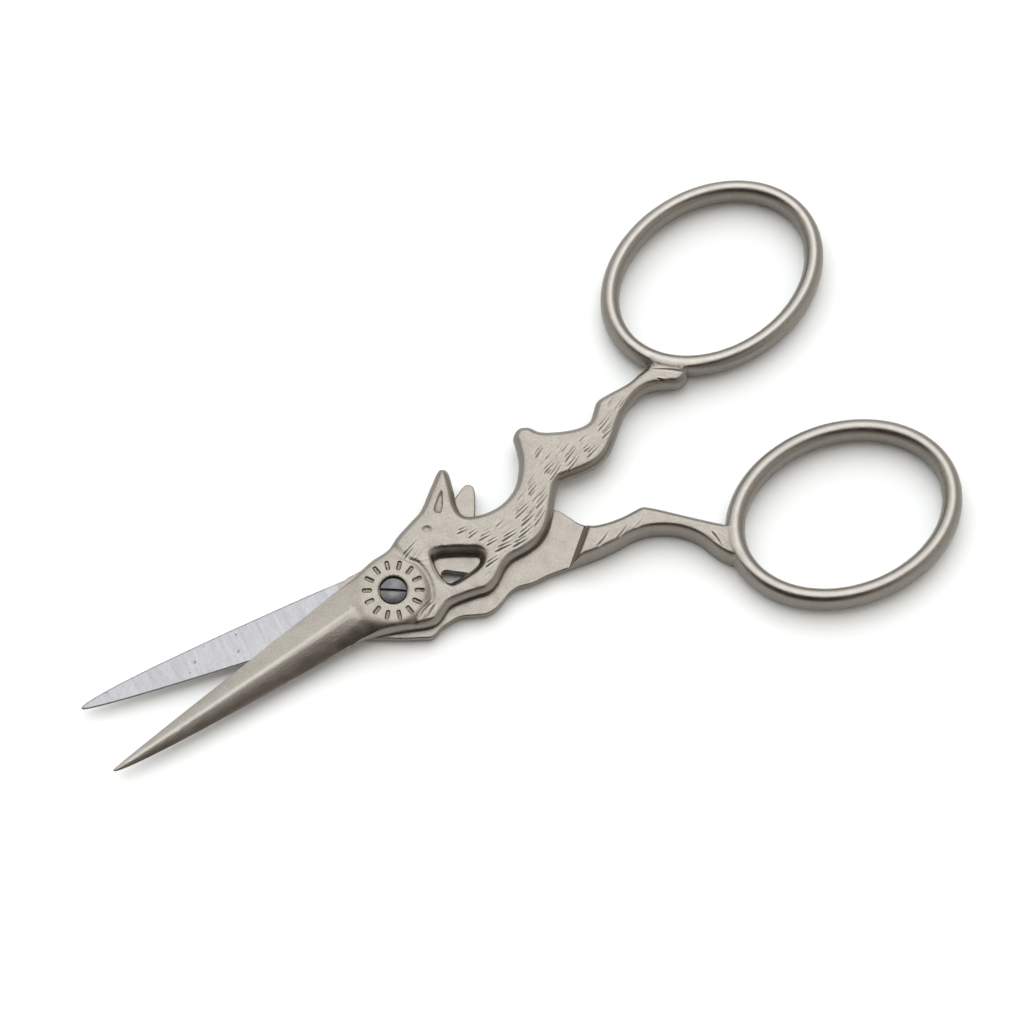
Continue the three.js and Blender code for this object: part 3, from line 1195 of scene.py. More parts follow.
@dataclass(frozen=True)
class SatinNickel:
    """Warm bead-blasted nickel plate, with painted shade in the carved lines and on the throat's wall,
    and a painted highlight on raised edges and along the ring's crest and the blade's ridge.
    """

    name: str = "satin_nickel"
    colour: Colour = (0.22, 0.199, 0.175)
    # Painted shade: the colour of carved lines and of the throat's wall, standing in for the shade there.
    recess_shade_colour: Colour = (0.15, 0.134, 0.116)
    # Painted highlight: the colour of raised edges and of the lines along the ring's crest and the blade's
    # ridge.
    highlight_colour: Colour = (0.32, 0.305, 0.28)
    tones: Range = (0.88, 1.12)
    roughness: Range = (0.28, 0.39)
    cloud: Pattern = Pattern(900.0, 3.0, 0.55)
    grain: Pattern = Pattern(5200.0, 2.0, 0.6, height=0.000016)
    waves: Pattern = Pattern(420.0, 2.0, 0.5, height=0.000006)

    def material(self) -> bpy.types.Material:
        """Make the finish as a node material.

        Returns:
            The material.
        """
        paint = NodePaint(self.name)
        grain = paint.noise(self.grain)
        tone = paint.vary(self.colour, grain, self.tones)
        # Painted highlight, blended in where the lip attribute marks it.
        worn = paint.blend(tone, self.highlight_colour, paint.attribute("lip"))
        # Painted shade, blended in where the shade attribute marks it.
        paint.link(paint.blend(worn, self.recess_shade_colour, paint.attribute("shade_and_highlight")), "Base Color")
        paint.link(paint.ramp(paint.noise(self.cloud), self.roughness), "Roughness")
        paint.bump([(grain, self.grain), (paint.noise(self.waves), self.waves)])
        return paint.material


@dataclass(frozen=True)
class GroundSteel:
    """Bright steel with fine grinding marks across the blade."""

    name: str = "ground_steel"
    colour: Colour = (0.25, 0.246, 0.257)
    # Painted shade: the colour of the pits, standing in for the shade in them.
    recess_shade_colour: Colour = (0.16, 0.15, 0.15)
    tones: Range = (0.9, 1.07)
    roughness: Range = (0.28, 0.42)
    speckle: Pattern = Pattern(3800.0, 4.0, 0.65, height=0.000005)
    marks: Pattern = Pattern(2600.0, 3.0, 0.6, stretch=(1.0, 0.09, 1.0), height=0.000004)

    def material(self) -> bpy.types.Material:
        """Make the finish as a node material.

        Returns:
            The material.
        """
        paint = NodePaint(self.name)
        speckle = paint.noise(self.speckle)
        tone = paint.vary(self.colour, speckle, self.tones)
        # Painted shade in the pits, blended in where the shade attribute marks it.
        paint.link(paint.blend(tone, self.recess_shade_colour, paint.attribute("shade_and_highlight")), "Base Color")
        marks = paint.noise(self.marks)
        paint.link(paint.ramp(marks, self.roughness), "Roughness")
        paint.bump([(marks, self.marks), (speckle, self.speckle)])
        return paint.material


@dataclass(frozen=True)
class TurnedSteel:
    """Plain grey steel of the screw, with fine scratches along its slot."""

    name: str = "turned_steel"
    colour: Colour = (0.1, 0.098, 0.1)
    tones: Range = (0.8, 1.2)
    roughness: Range = (0.24, 0.4)
    cloud: Pattern = Pattern(2200.0, 3.0, 0.6)
    scratches: Pattern = Pattern(5000.0, 2.0, 0.6, stretch=(0.06, 1.0, 1.0), turned=31.0, height=0.000006)

    def material(self) -> bpy.types.Material:
        """Make the finish as a node material.

        Returns:
            The material.
        """
        paint = NodePaint(self.name)
        paint.link(paint.vary(self.colour, paint.noise(self.cloud), self.tones), "Base Color")
        scratches = paint.noise(self.scratches)
        paint.link(paint.ramp(scratches, self.roughness), "Roughness")
        paint.bump([(scratches, self.scratches)])
        return paint.material


# Carved lines of the coat, the thigh, the hind paw, the muzzle, the jaw and forepaw, and the back half's
# leg. Then the pits in the back blade's ground face, each as its place and half width.
FUR: list[Stroke] = [
    Stroke((9.35, 1.58), (10.8, 1.38), Cut.CLEAR),
    Stroke((10.1, 0.45), (11.65, 0.6), Cut.CLEAR),
    Stroke((12.1, 0.2), (13.5, 0.15), Cut.FAINT),
    Stroke((10.9, -0.42), (12.6, -0.5), Cut.CLEAR),
    Stroke((11.3, -1.36), (13.0, -1.4), Cut.CLEAR),
    Stroke((12.95, -1.88), (15.2, -1.88), Cut.STRONG),
    Stroke((11.7, -2.46), (14.05, -2.72), Cut.STRONG, 0.26),
    Stroke((13.65, -3.1), (15.7, -3.14), Cut.STRONG, 0.26),
    Stroke((9.85, -3.34), (11.8, -3.26), Cut.STRONG),
    Stroke((9.15, -4.15), (10.2, -4.05), Cut.FAINT),
    Stroke((13.4, -0.58), (15.55, -0.26), Cut.FAINT, 0.24, -0.04),
    Stroke((13.4, -1.2), (15.3, -1.06), Cut.FAINT),
    Stroke((15.7, -1.58), (18.0, -1.12), Cut.STRONG, 0.26, -0.05),
    Stroke((14.75, -2.55), (17.0, -2.18), Cut.STRONG, 0.24, -0.05),
    Stroke((16.9, -2.42), (19.15, -1.42), Cut.CLEAR, 0.24, -0.08),
    Stroke((18.2, -0.8), (20.5, 0.0), Cut.CLEAR, 0.26, -0.06),
    Stroke((15.7, -0.47), (18.1, 0.05), Cut.CLEAR, 0.24, -0.06),
    Stroke((15.8, 0.36), (18.05, 0.98), Cut.FAINT, 0.21),
    Stroke((16.1, 0.12), (17.95, 0.68), Cut.FAINT, 0.21),
    Stroke((18.4, 1.0), (20.1, 1.62), Cut.CLEAR, 0.21),
    Stroke((18.5, 0.76), (19.6, 1.14), Cut.FAINT, 0.19),
    Stroke((18.8, 1.75), (20.2, 2.32), Cut.FAINT, 0.21),
    Stroke((18.3, 0.1), (20.0, 0.62), Cut.FAINT, 0.19),
    Stroke((19.0, 2.1), (20.5, 2.72), Cut.FAINT, 0.19),
    Stroke((19.3, 0.22), (20.7, 0.78), Cut.FAINT, 0.19),
    Stroke((17.2, -0.85), (18.6, -0.42), Cut.FAINT, 0.19),
    Stroke((15.9, -0.14), (17.6, 0.3), Cut.FAINT, 0.19),
    Stroke((17.5, -1.7), (19.2, -0.95), Cut.FAINT, 0.19),
    Stroke((13.3, -0.1), (14.9, 0.16), Cut.FAINT, 0.19),
    Stroke((17.0, 1.15), (18.7, 1.75), Cut.FAINT, 0.19),
]
THIGH_FUR: list[Stroke] = [
    Stroke((21.35, 1.05), (23.6, 2.1), Cut.CLEAR, 0.22, -0.06),
    Stroke((21.25, 2.12), (23.0, 2.6), Cut.CLEAR, 0.22),
    Stroke((21.5, 1.9), (22.4, 2.12), Cut.FAINT, 0.19),
    Stroke((21.45, 4.14), (23.0, 4.8), Cut.CLEAR, 0.29),
    Stroke((21.4, 3.2), (22.6, 3.56), Cut.FAINT, 0.21),
    Stroke((23.4, 3.02), (25.0, 3.66), Cut.FAINT, 0.21),
    Stroke((24.0, 3.8), (25.5, 4.46), Cut.FAINT, 0.22),
    Stroke((23.9, 1.94), (26.0, 2.74), Cut.CLEAR, 0.22),
    Stroke((23.5, 0.94), (25.8, 1.8), Cut.CLEAR, 0.24, -0.1),
    Stroke((26.25, 1.02), (28.1, 1.48), Cut.CLEAR),
    Stroke((26.35, 1.8), (27.4, 1.98), Cut.CLEAR, 0.22),
    Stroke((26.3, 2.66), (27.4, 2.94), Cut.FAINT),
    Stroke((28.9, 2.0), (30.7, 2.38), Cut.CLEAR),
    Stroke((28.95, 2.96), (31.2, 3.76), Cut.CLEAR, 0.24, -0.06),
    Stroke((31.2, 4.56), (32.6, 5.12), Cut.FAINT, 0.26),
    Stroke((31.9, 3.96), (33.8, 4.86), Cut.FAINT, 0.26),
    Stroke((21.6, 4.5), (23.1, 5.1), Cut.FAINT, 0.19),
    Stroke((22.3, 3.42), (23.5, 3.86), Cut.FAINT, 0.19),
    Stroke((24.2, 3.1), (25.8, 3.72), Cut.FAINT, 0.19),
    Stroke((26.5, 3.1), (28.0, 3.45), Cut.FAINT, 0.19),
    Stroke((29.2, 2.55), (31.0, 3.1), Cut.FAINT, 0.19),
    Stroke((24.6, 2.5), (26.1, 3.05), Cut.FAINT, 0.19),
    Stroke((31.5, 4.98), (32.9, 5.44), Cut.FAINT, 0.19),
    Stroke((32.4, 3.95), (34.0, 4.62), Cut.FAINT, 0.19),
]
PAW_LINES: list[Stroke] = [
    Stroke((37.9, 4.6), (39.4, 3.2), Cut.STRONG, 0.26, -0.05),
    Stroke((41.0, 3.5), (37.5, 6.2), Cut.CLEAR, 0.3, -0.14),
]
MUZZLE_LINES: list[Stroke] = [
    Stroke((2.95, 2.78), (5.5, 3.52), Cut.CLEAR),
    Stroke((2.95, 2.4), (4.7, 2.96), Cut.CLEAR),
    Stroke((3.4, 1.82), (5.1, 2.54), Cut.FAINT),
    Stroke((4.0, 1.6), (5.7, 2.3), Cut.FAINT, 0.22),
]
JAW_AND_FOREPAW_LINES: list[Stroke] = [
    Stroke((5.3, 0.72), (3.8, 1.32), Cut.FAINT, 0.36),
    Stroke((3.0, -3.08), (0.4, -3.92), Cut.STRONG, 0.21, -0.06),
    Stroke((2.9, -3.36), (0.6, -4.16), Cut.CLEAR, 0.18, -0.06),
    Stroke((3.05, -3.85), (1.5, -4.68), Cut.STRONG, 0.32, -0.05),
]
BACK_FUR: list[Stroke] = [
    Stroke((22.7, -3.25), (24.7, -1.95), Cut.CLEAR, 0.26, -0.1),
    Stroke((24.9, -3.25), (26.9, -1.95), Cut.CLEAR, 0.26, -0.1),
    Stroke((27.4, -2.75), (29.2, -1.6), Cut.FAINT, 0.24, -0.06),
    Stroke((35.15, -5.95), (35.7, -8.2), Cut.STRONG, 0.22, 0.08),
]
PITS: list[tuple[float, float, float]] = [
    (-18.2, 0.0, 0.13), (-23.1, 0.55, 0.12), (-36.2, 0.12, 0.08), (-17.8, 1.9, 0.09), (-21.6, 1.9, 0.07),
    (-33.3, 0.7, 0.07), (-24.0, -0.4, 0.06),
]


@dataclass(frozen=True)
class Pit:
    """The shape of the small pits in a ground face."""

    stretch: float = 1.5
    turned: float = 60.0
    depth: float = 0.06
    wall: float = 0.6
    spacing: float = 0.05

    def carving(self, x: float, y: float, size: float) -> Pocket:
        """Make one pit.

        Args:
            x: Its place along the blade.
            y: Its place across the blade.
            size: Its half width.

        Returns:
            The pit.
        """
        rim = ellipse_loop((x, y), size * self.stretch, size, self.turned, self.spacing)
        return Pocket(rim, self.depth, size * self.wall)


@dataclass(frozen=True)
class Head:
    """The sunk ear and eye of the animal."""

    ear_spacing: float = 0.15
    ear: tuple[float, float, float] = (0.17, 0.2, 0.1)
    eye_place: Point = (6.95, 3.88)
    eye_long: float = 0.62
    eye_short: float = 0.48
    eye_tilt: float = -40.0
    eye_spacing: float = 0.1
    eye: tuple[float, float, float] = (0.11, 0.28, 0.05)

    def carvings(self) -> list[Pocket]:
        """Give the two hollows.

        Returns:
            The ear and the eye.
        """
        eye_rim = ellipse_loop(
            self.eye_place, self.eye_long, self.eye_short, self.eye_tilt, self.eye_spacing
        )
        return [Pocket(smooth_loop(EAR_HOLLOW, self.ear_spacing), *self.ear), Pocket(eye_rim, *self.eye)]


@dataclass(frozen=True)
class PivotBore:
    """The hole for the screw, with the seat of its head: a nearly upright wall under a rounded lip."""

    radius: float = 0.95
    head_radius: float = 1.62
    wall: float = 0.02
    seat: float = 2.55
    lip: float = 0.09
    lip_drop: float = 0.06

    @staticmethod
    def circle(radius: float) -> np.ndarray:
        """Give points along a circle round the pivot."""
        return ellipse_loop((0, 0), radius, radius, 0, OUTLINE_SPACING)

    def loop(self) -> np.ndarray:
        """Give the outline of the through hole."""
        return self.circle(self.radius)

    def rails(self) -> list[np.ndarray]:
        """Give the circles that the mesh follows round the seat.

        Returns:
            Points along each circle.
        """
        radii = (self.head_radius - self.wall, self.head_radius, self.head_radius + self.lip)
        return [closed_rail(self.circle(radius)) for radius in radii]

    def sink(self, height: np.ndarray, r: np.ndarray) -> np.ndarray:
        """Cut the seat into a surface.

        Args:
            height: Height of the surface.
            r: Distance from the pivot.

        Returns:
            Height of the surface with the seat in it.
        """
        lip = self.lip_drop * (1.0 - np.clip((r - self.head_radius) / self.lip, 0.0, 1.0)) ** 2
        return np.where(r < self.head_radius - self.wall / 2, self.seat, height - lip)


@dataclass(frozen=True)
class SunBoss:
    """The domed boss round the screw, with a circle of sunk rays.

    Attributes:
        top: Height of its flat middle.
        flat: Radius of the flat.
        slopes: For places round the boss, in degrees: how steeply it falls there, and over which width it
            bends down to that slope.
        count, circle, length, width, depth, wall: Number and sizes of the rays, and of the circle of
            their middles.
        first: Place of the first ray, in degrees.
        end_points, end_power: Points round each end of a ray, and the power that makes the end blunt.
    """

    top: float = 3.55
    flat: float = 3.22
    slopes: tuple[tuple[float, float, float], ...] = (
        (-180, 0.13, 1.2), (-170, 0.2, 1.4), (-155, 0.38, 1.4), (-140, 0.58, 1.4), (-110, 0.75, 1.3),
        (-85, 0.62, 1.1), (-60, 0.42, 0.6), (30, 0.42, 0.35), (55, 0.32, 0.4), (80, 0.4, 0.6),
        (105, 0.5, 0.7), (140, 0.38, 0.9), (155, 0.26, 1.0), (168, 0.14, 1.0),
    )
    count: int = 14
    circle: float = 2.9
    length: float = 1.15
    width: float = 0.52
    depth: float = 0.24
    wall: float = 0.1
    first: float = -7.0
    end_points: int = 7
    end_power: float = 0.7

    def height(self, points: np.ndarray) -> np.ndarray:
        """Give the height of the dome at each point.

        Args:
            points: Points in the plane, one row each.

        Returns:
            The height.
        """
        place = np.degrees(np.arctan2(points[:, 1], points[:, 0]))
        places, slopes, bends = zip(*self.slopes)
        slope = np.interp(place, places, slopes, period=360)
        bend = np.interp(place, places, bends, period=360)
        out = np.clip(np.hypot(*points.T) - self.flat, 0.0, None)
        return self.top - slope * np.where(out < bend, out**2 / (2 * bend), out - bend / 2)

    def rays(self) -> list[Pocket]:
        """Give the sunk rays.

        Returns:
            One patch for each ray.
        """
        angle = np.linspace(-math.pi / 2, math.pi / 2, self.end_points)
        half, straight = self.width / 2, (self.length - self.width) / 2
        cap = np.column_stack([straight + half * np.cos(angle) ** self.end_power, half * np.sin(angle)])
        shape = np.vstack([cap, -cap])
        shape[:, 0] += self.circle
        places = [self.first + 360 * i / self.count for i in range(self.count)]
        return [Pocket(turn(shape, place), self.depth, self.wall) for place in places]


def on_ground_side(points: np.ndarray) -> np.ndarray:
    """Tell which points lie on the blade's side of the line where the ground face stops."""
    (ax, ay), (bx, by) = GROUND_LINE
    return (points[:, 0] - ax) * (ay - by) + (points[:, 1] - ay) * (bx - ax) < 0


class Layer(Enum):
    """Whether a half lies above or below the flat face that slides on the other half."""

    ABOVE = 1
    BELOW = -1


@dataclass
class Half:
    """What the two halves share: the outline, the mesh, its place and its finishes.

    Attributes:
        node: Node of the part that the half replaces.
        body: Body that it rides on.
        slot: Slot of its material; not used.
        angle: Turn from the closed position, in degrees.
        layer: Which side of its flat face it lies on.
        lap: Height of that face.
        outline_corners: Corners of the figure's outline.
        throat_corners: Corners of the opening in the throat.
        to_leg: Stretch of X over which the outline goes over to the middle height of the rings.
        under_grain: How finely the bottom face is divided.
        bore_rim: Height of the outline in the bore.
        blade: Its blade.
        ring: Its finger ring.
        bore: Its hole for the screw.
        leg_shoulder: Edge of the hind leg.
        head: The animal's ear and eye.
        wall: Height of the figure's outline above or below the flat face.
        ring_highlight: Width of the painted highlight along the ring's crest.
        ridge_highlight: Width of the painted highlight along the blade's ridge.
        ridge_highlight_fade: Stretch of X over which that painted highlight comes in.
        ridge_highlight_rise: Height above or below the flat face from which on it shows.
    """

    node: str
    body: str
    slot: str
    angle: float
    layer: Layer
    lap: float
    outline_corners: tuple[Point, ...]
    throat_corners: tuple[Point, ...]
    to_leg: Range
    under_grain: Grain
    bore_rim: float
    blade: Blade
    ring: FingerRing
    bore: PivotBore = PivotBore()
    leg_shoulder: Shoulder = Shoulder(draft=0.15, band=0.55, drop=0.7)
    head: Head = Head()
    wall: float = 0.4
    ring_highlight: float = 0.42
    ridge_highlight: float = 0.3
    ridge_highlight_fade: Range = (-3.0, -7.0)
    ridge_highlight_rise: float = 0.2
    figure: np.ndarray = field(init=False, repr=False)
    throat: np.ndarray = field(init=False, repr=False)
    edge: EdgeField = field(init=False, repr=False)
    cuts: list[Carving] = field(init=False, repr=False)
    under_cuts: list[Carving] = field(init=False, repr=False)

    def lay_out(self, outlines: list[np.ndarray]) -> None:
        """Set the distances to the outlines and the carvings, before the faces are made."""
        raise NotImplementedError

    def extra_rails(self) -> list[np.ndarray]:
        """Give the lines that the top face's mesh follows besides the carvings."""
        raise NotImplementedError

    def top(self, points: np.ndarray) -> np.ndarray:
        """Give the height of the top face at each point."""
        raise NotImplementedError

    def underside(self, points: np.ndarray) -> np.ndarray:
        """Give the height of the bottom face at each point."""
        raise NotImplementedError

    def is_ground(self, carved: Carved, middles: np.ndarray) -> np.ndarray:
        """Tell which triangles belong to the blade's ground inner face."""
        raise NotImplementedError

    def in_painted_shade(self, points: np.ndarray) -> np.ndarray:
        """Tell which points lie on a wall given painted shade: none, unless a half says otherwise."""
        return np.zeros(len(points), bool)

    def edge_height(self, points: np.ndarray) -> np.ndarray:
        """Give the height of the outline itself.

        Args:
            points: Points in the plane, one row each.

        Returns:
            The height.
        """
        x = points[:, 0]
        land, side = self.blade.land, self.layer.value
        height = self.lap + side * land + side * (self.wall - land) * smoothstep(*NECK, x)
        return height + (PARTING - self.lap - side * self.wall) * smoothstep(*self.to_leg, x)

    def ring_top(self, points: np.ndarray) -> np.ndarray:
        """Give the height of the ring's upper side, or a large negative number off the ring."""
        section = self.ring.section(points, self.ring.fill)
        return np.where(section >= 0.0, PARTING + (self.ring.height - PARTING) * section, NOWHERE)

    def clear_of_edge(self, line: np.ndarray, gap: float) -> np.ndarray:
        """Give the points of a line that lie in the figure, more than a gap from its edge."""
        return line[inside(line, self.figure) & (self.edge.distance(line) > gap)]

    def painted_highlight(self, points: np.ndarray) -> np.ndarray:
        """Give how much painted highlight each point takes along the ring's crest and the blade's ridge.

        Args:
            points: Points of the half, one row each.

        Returns:
            The painted highlight, from 0 for none to 1 on the line itself.
        """
        x, y, z = points.T
        from_crest = EdgeField([self.ring.middle()]).distance(points[:, :2])
        on_ring = 1.0 - smoothstep(0.0, self.ring_highlight, from_crest)
        on_ridge = 1.0 - smoothstep(0.0, self.ridge_highlight, np.abs(y - self.blade.ridge(x)))
        shows = np.abs(z - self.lap) > self.ridge_highlight_rise
        on_ridge = np.where(shows, on_ridge, 0.0) * smoothstep(*self.ridge_highlight_fade, x)
        return np.maximum(on_ring, on_ridge)

    def build(self) -> Carved:
        """Make the carved mesh.

        Returns:
            The mesh in the closed position.
        """
        self.figure = smooth_loop(self.outline_corners, OUTLINE_SPACING)
        self.throat = smooth_loop(self.throat_corners, OUTLINE_SPACING)
        rim_inside, rim_outside = (self.ring.loop(side * self.ring.half_width) for side in (-1, 1))
        relief = Relief(
            [self.figure, self.blade.outline(), rim_outside],
            [(0, self.throat), (2, rim_inside), (Relief.EVERY_PLATE, self.bore.loop())],
        )
        self.lay_out(relief.outline)
        top = relief.face(self.top, CARVED_GRAIN, carve_rails(self.cuts) + self.extra_rails())
        bottom = relief.face(self.underside, self.under_grain, carve_rails(self.under_cuts))
        rim = relief.rim_count()
        points, faces, upper = self.join_faces(top, bottom, rim)
        points[:rim, 2] = self.edge_height(points[:rim, :2])
        in_bore = np.hypot(points[:rim, 0], points[:rim, 1]) < BORE_REACH
        points[:rim, 2][in_bore] = self.bore_rim
        above = carve_depth(top[0][:, :2], self.cuts)
        below = carve_depth(bottom[0][rim:, :2], self.under_cuts)
        shade_and_highlight = np.concatenate([above, below]) / FULL_SHADE_DEPTH
        # The throat's wall takes the full painted shade.
        shade_and_highlight[self.in_painted_shade(points)] = 1.0
        # The line along the ring's crest and the blade's ridge takes a painted highlight, stored like a
        # raised edge.
        shade_and_highlight = np.where(shade_and_highlight > 0.0, shade_and_highlight, shade_and_highlight - PAINTED_HIGHLIGHT_HEIGHT * self.painted_highlight(points))
        return Carved(points, faces, shade_and_highlight, upper)

    @staticmethod
    def join_faces(top: Face, bottom: Face, rim: int) -> tuple[np.ndarray, np.ndarray, np.ndarray]:
        """Sew two faces together along their common outline.

        Args:
            top: Points and triangles of the top face.
            bottom: Points and triangles of the bottom face.
            rim: Number of points of the outline, which come first in both.

        Returns:
            Points, triangles that turn left seen from outside, and which of them are on top.
        """
        points = np.vstack([top[0], bottom[0][rim:]])
        renumber = np.arange(len(bottom[0]))
        renumber[rim:] += len(top[0]) - rim
        under = renumber[bottom[1]][:, ::-1]
        upper = np.arange(len(top[1]) + len(under)) < len(top[1])
        return points, np.vstack([top[1], under]), upper

    def mesh_object(self, carved: Carved) -> bpy.types.Object:
        """Make the object from its carved mesh.

        Args:
            carved: The mesh in the closed position.

        Returns:
            The object, at its place in the frame.
        """
        places = np.column_stack([turn(carved.points[:, :2], self.angle), carved.points[:, 2]]) * MM
        mesh = bpy.data.meshes.new(self.node + "_carved")
        mesh.from_pydata(places.tolist(), [], carved.faces.tolist())
        # Painted shade, and painted highlight under the name lip, carried to the materials as point
        # attributes.
        for name, values in (("shade_and_highlight", carved.shade_and_highlight), ("lip", -PAINTED_HIGHLIGHT_GAIN * carved.shade_and_highlight)):
            attribute = mesh.attributes.new(name, "FLOAT", "POINT")
            attribute.data.foreach_set("value", np.clip(values, 0.0, 1.0).astype(np.float32))
        piece = bpy.data.objects.new(self.node + "_carved", mesh)
        bpy.context.scene.collection.objects.link(piece)
        bpy.ops.object.select_all(action="DESELECT")
        bpy.context.view_layer.objects.active = piece
        piece.select_set(True)
        bpy.ops.object.shade_smooth_by_angle(angle=math.radians(SMOOTH_ANGLE))
        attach(piece, self.body)
        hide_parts(self.node)
        LOG.info("%s: %d triangles", piece.name, len(carved.faces))
        return piece

    def dress(
        self, piece: bpy.types.Object, carved: Carved, satin: bpy.types.Material, ground: bpy.types.Material
    ) -> None:
        """Give the piece its finishes: satin all over, ground steel on the blade's inner face.

        Args:
            piece: The object.
            carved: The mesh that it was made from.
            satin: Finish of the plated surfaces.
            ground: Finish of the ground face.
        """
        piece.data.materials.append(satin)
        piece.data.materials.append(ground)
        middles = carved.points[carved.faces].mean(1)
        piece.data.polygons.foreach_set("material_index", self.is_ground(carved, middles).astype(np.int32))


@dataclass
class FrontHalf(Half):
    """The half that lies on top: blade, boss, animal, hind leg and upper ring in one piece.

    Attributes:
        step: Stretch of X over which the underside drops from the flat face to the table.
        boss: The boss round the screw.
        boss_end: X beyond which the boss doesn't reach.
        boss_lift: How far the figure's top rises next to the boss.
        boss_lift_reach: Distances from the pivot at which that rise starts and is full.
        neck_fillet: Rounding between the blade and the boss.
        seam_width: Width of the slope from the boss up to the animal.
        seam_growth: Share by which that slope is wider at the cheek.
        cheek: Stretch of Y over which it widens.
        seam_rows: Distances from the foot of that slope at which the mesh follows it.
        seam_gap: Distance from the edge at which those rows end.
        boss_corners: Far corners of the area on the boss's side of that slope.
        shoulder: Edge of the figure.
        throat_shoulder: Edge of the opening in the throat.
        strut_shoulder: Edge of the opening beside the boss.
        strut: Stretch of X over which one of these edges goes over to the other.
        leg: Stretch of X over which the figure's edge goes over to the hind leg's.
        ground_depth: How far above the flat face a triangle still counts as ground.
    """

    node: str = "front_half"
    body: str = "upper"
    slot: str = "front_half_nickel"
    angle: float = OPENING / 2
    layer: Layer = Layer.ABOVE
    lap: float = LAP_FRONT
    outline_corners: tuple[Point, ...] = (
        *HEAD_AND_NAPE, *FRONT_BACK_AND_LEG, *FRONT_PAW, *FRONT_LEG_AND_FLANK, *BELLY, *FRONT_FOREPAW,
    )
    throat_corners: tuple[Point, ...] = tuple(FRONT_THROAT)
    to_leg: Range = (32.0, 34.5)
    under_grain: Grain = PLAIN_GRAIN
    bore_rim: float = (LAP_FRONT + PivotBore.seat) / 2
    blade: Blade = Blade(3.9, 0.92, 2.7, 0.58, EdgeSide.PLUS_Y)
    ring: FingerRing = FingerRing((40.55, 5.42), 218, 2, short=9.36)
    step: Range = (33.0, 34.6)
    boss: SunBoss = SunBoss()
    boss_end: float = 6.0
    boss_lift: float = 0.2
    boss_lift_reach: Range = (5.0, 3.5)
    neck_fillet: float = 0.8
    seam_width: float = 0.55
    seam_growth: float = 0.8
    cheek: Range = (1.8, 3.0)
    seam_rows: tuple[float, ...] = (0.0, 0.18, 0.37, 0.55)
    seam_gap: float = 0.06
    boss_corners: tuple[Point, Point] = ((-9.0, -7.0), (-9.0, 7.0))
    shoulder: Shoulder = Shoulder()
    throat_shoulder: Shoulder = Shoulder(0.02, 0.85, 1.12)
    strut_shoulder: Shoulder = Shoulder(0.04, 0.22, 0.3, 0.12, 0.6)
    strut: Range = (6.0, 5.3)
    leg: Range = (31.0, 34.0)
    ground_depth: float = 0.02
    throat_edge: EdgeField = field(init=False, repr=False)
    seam: np.ndarray = field(init=False, repr=False)
    seam_edge: EdgeField = field(init=False, repr=False)
    boss_side: np.ndarray = field(init=False, repr=False)

    def lay_out(self, outlines: list[np.ndarray]) -> None:
        """Set the distances to the outlines and the carvings, before the faces are made.

        Args:
            outlines: Outlines of the joined plates.
        """
        reach = [np.hypot(*loop.T).max() for loop in outlines]
        self.edge = EdgeField([loop for loop, far in zip(outlines, reach) if far > THROAT_REACH])
        throat = [loop for loop, far in zip(outlines, reach) if BORE_REACH < far < THROAT_REACH]
        self.throat_edge = EdgeField(throat)
        self.seam = smooth_line(BOSS_BORDER, OUTLINE_SPACING)
        self.seam_edge = EdgeField([self.seam], closed=False)
        self.boss_side = np.vstack([self.seam, self.boss_corners])
        coat = [*FUR, *THIGH_FUR]
        partners = [stroke.partner() for stroke in coat if stroke.depth > Cut.FAINT]
        lines = [*coat, *partners, *PAW_LINES, *MUZZLE_LINES, *JAW_AND_FOREPAW_LINES]
        self.cuts = [*lines, *self.head.carvings(), *self.boss.rays()]
        self.under_cuts = []

    def extra_rails(self) -> list[np.ndarray]:
        """Give the lines that the mesh follows round the screw's seat and up the seam beside the boss.

        Returns:
            Points along each line.
        """
        left = left_of(np.gradient(self.seam, axis=0))
        rows = [self.clear_of_edge(self.seam + left * row, self.seam_gap) for row in self.seam_rows]
        return self.bore.rails() + rows

    def top(self, points: np.ndarray) -> np.ndarray:
        """Give the height of the top face at each point.

        Args:
            points: Points in the plane, one row each.

        Returns:
            The height.
        """
        x, y = points.T
        r = np.hypot(*points.T)
        edge_height = self.edge_height(points)
        d = self.edge.distance(points)
        full = FIGURE_TOP + self.boss_lift * smoothstep(*self.boss_lift_reach, r)
        limit = self.shoulder.height(d, edge_height, full)
        limit += (self.leg_shoulder.height(d, edge_height, FIGURE_TOP) - limit) * smoothstep(*self.leg, x)
        to_throat = self.throat_edge.distance(points)
        rim = self.throat_shoulder.height(to_throat, edge_height, full)
        rim += (self.strut_shoulder.height(to_throat, edge_height, full) - rim) * smoothstep(*self.strut, x)
        limit = np.minimum(limit, rim)
        boss = np.where(x > self.boss_end, NOWHERE, np.minimum(self.boss.height(points), limit))
        blade = np.minimum(self.lap + self.blade.rise(points), limit)
        neck = np.minimum(smooth_max(blade, boss, self.neck_fillet), limit)
        beside = inside(points, self.boss_side) | ~inside(points, self.figure)
        width = self.seam_width * (1.0 + self.seam_growth * smoothstep(*self.cheek, y))
        on_animal = np.where(beside, 0.0, smoothstep(0.0, 1.0, self.seam_edge.distance(points) / width))
        height = np.where(on_animal < 1.0, neck + (limit - neck) * on_animal, limit)
        height = smooth_max(height, self.ring_top(points), RING_FILLET) - carve_depth(points, self.cuts)
        return self.bore.sink(height, r)

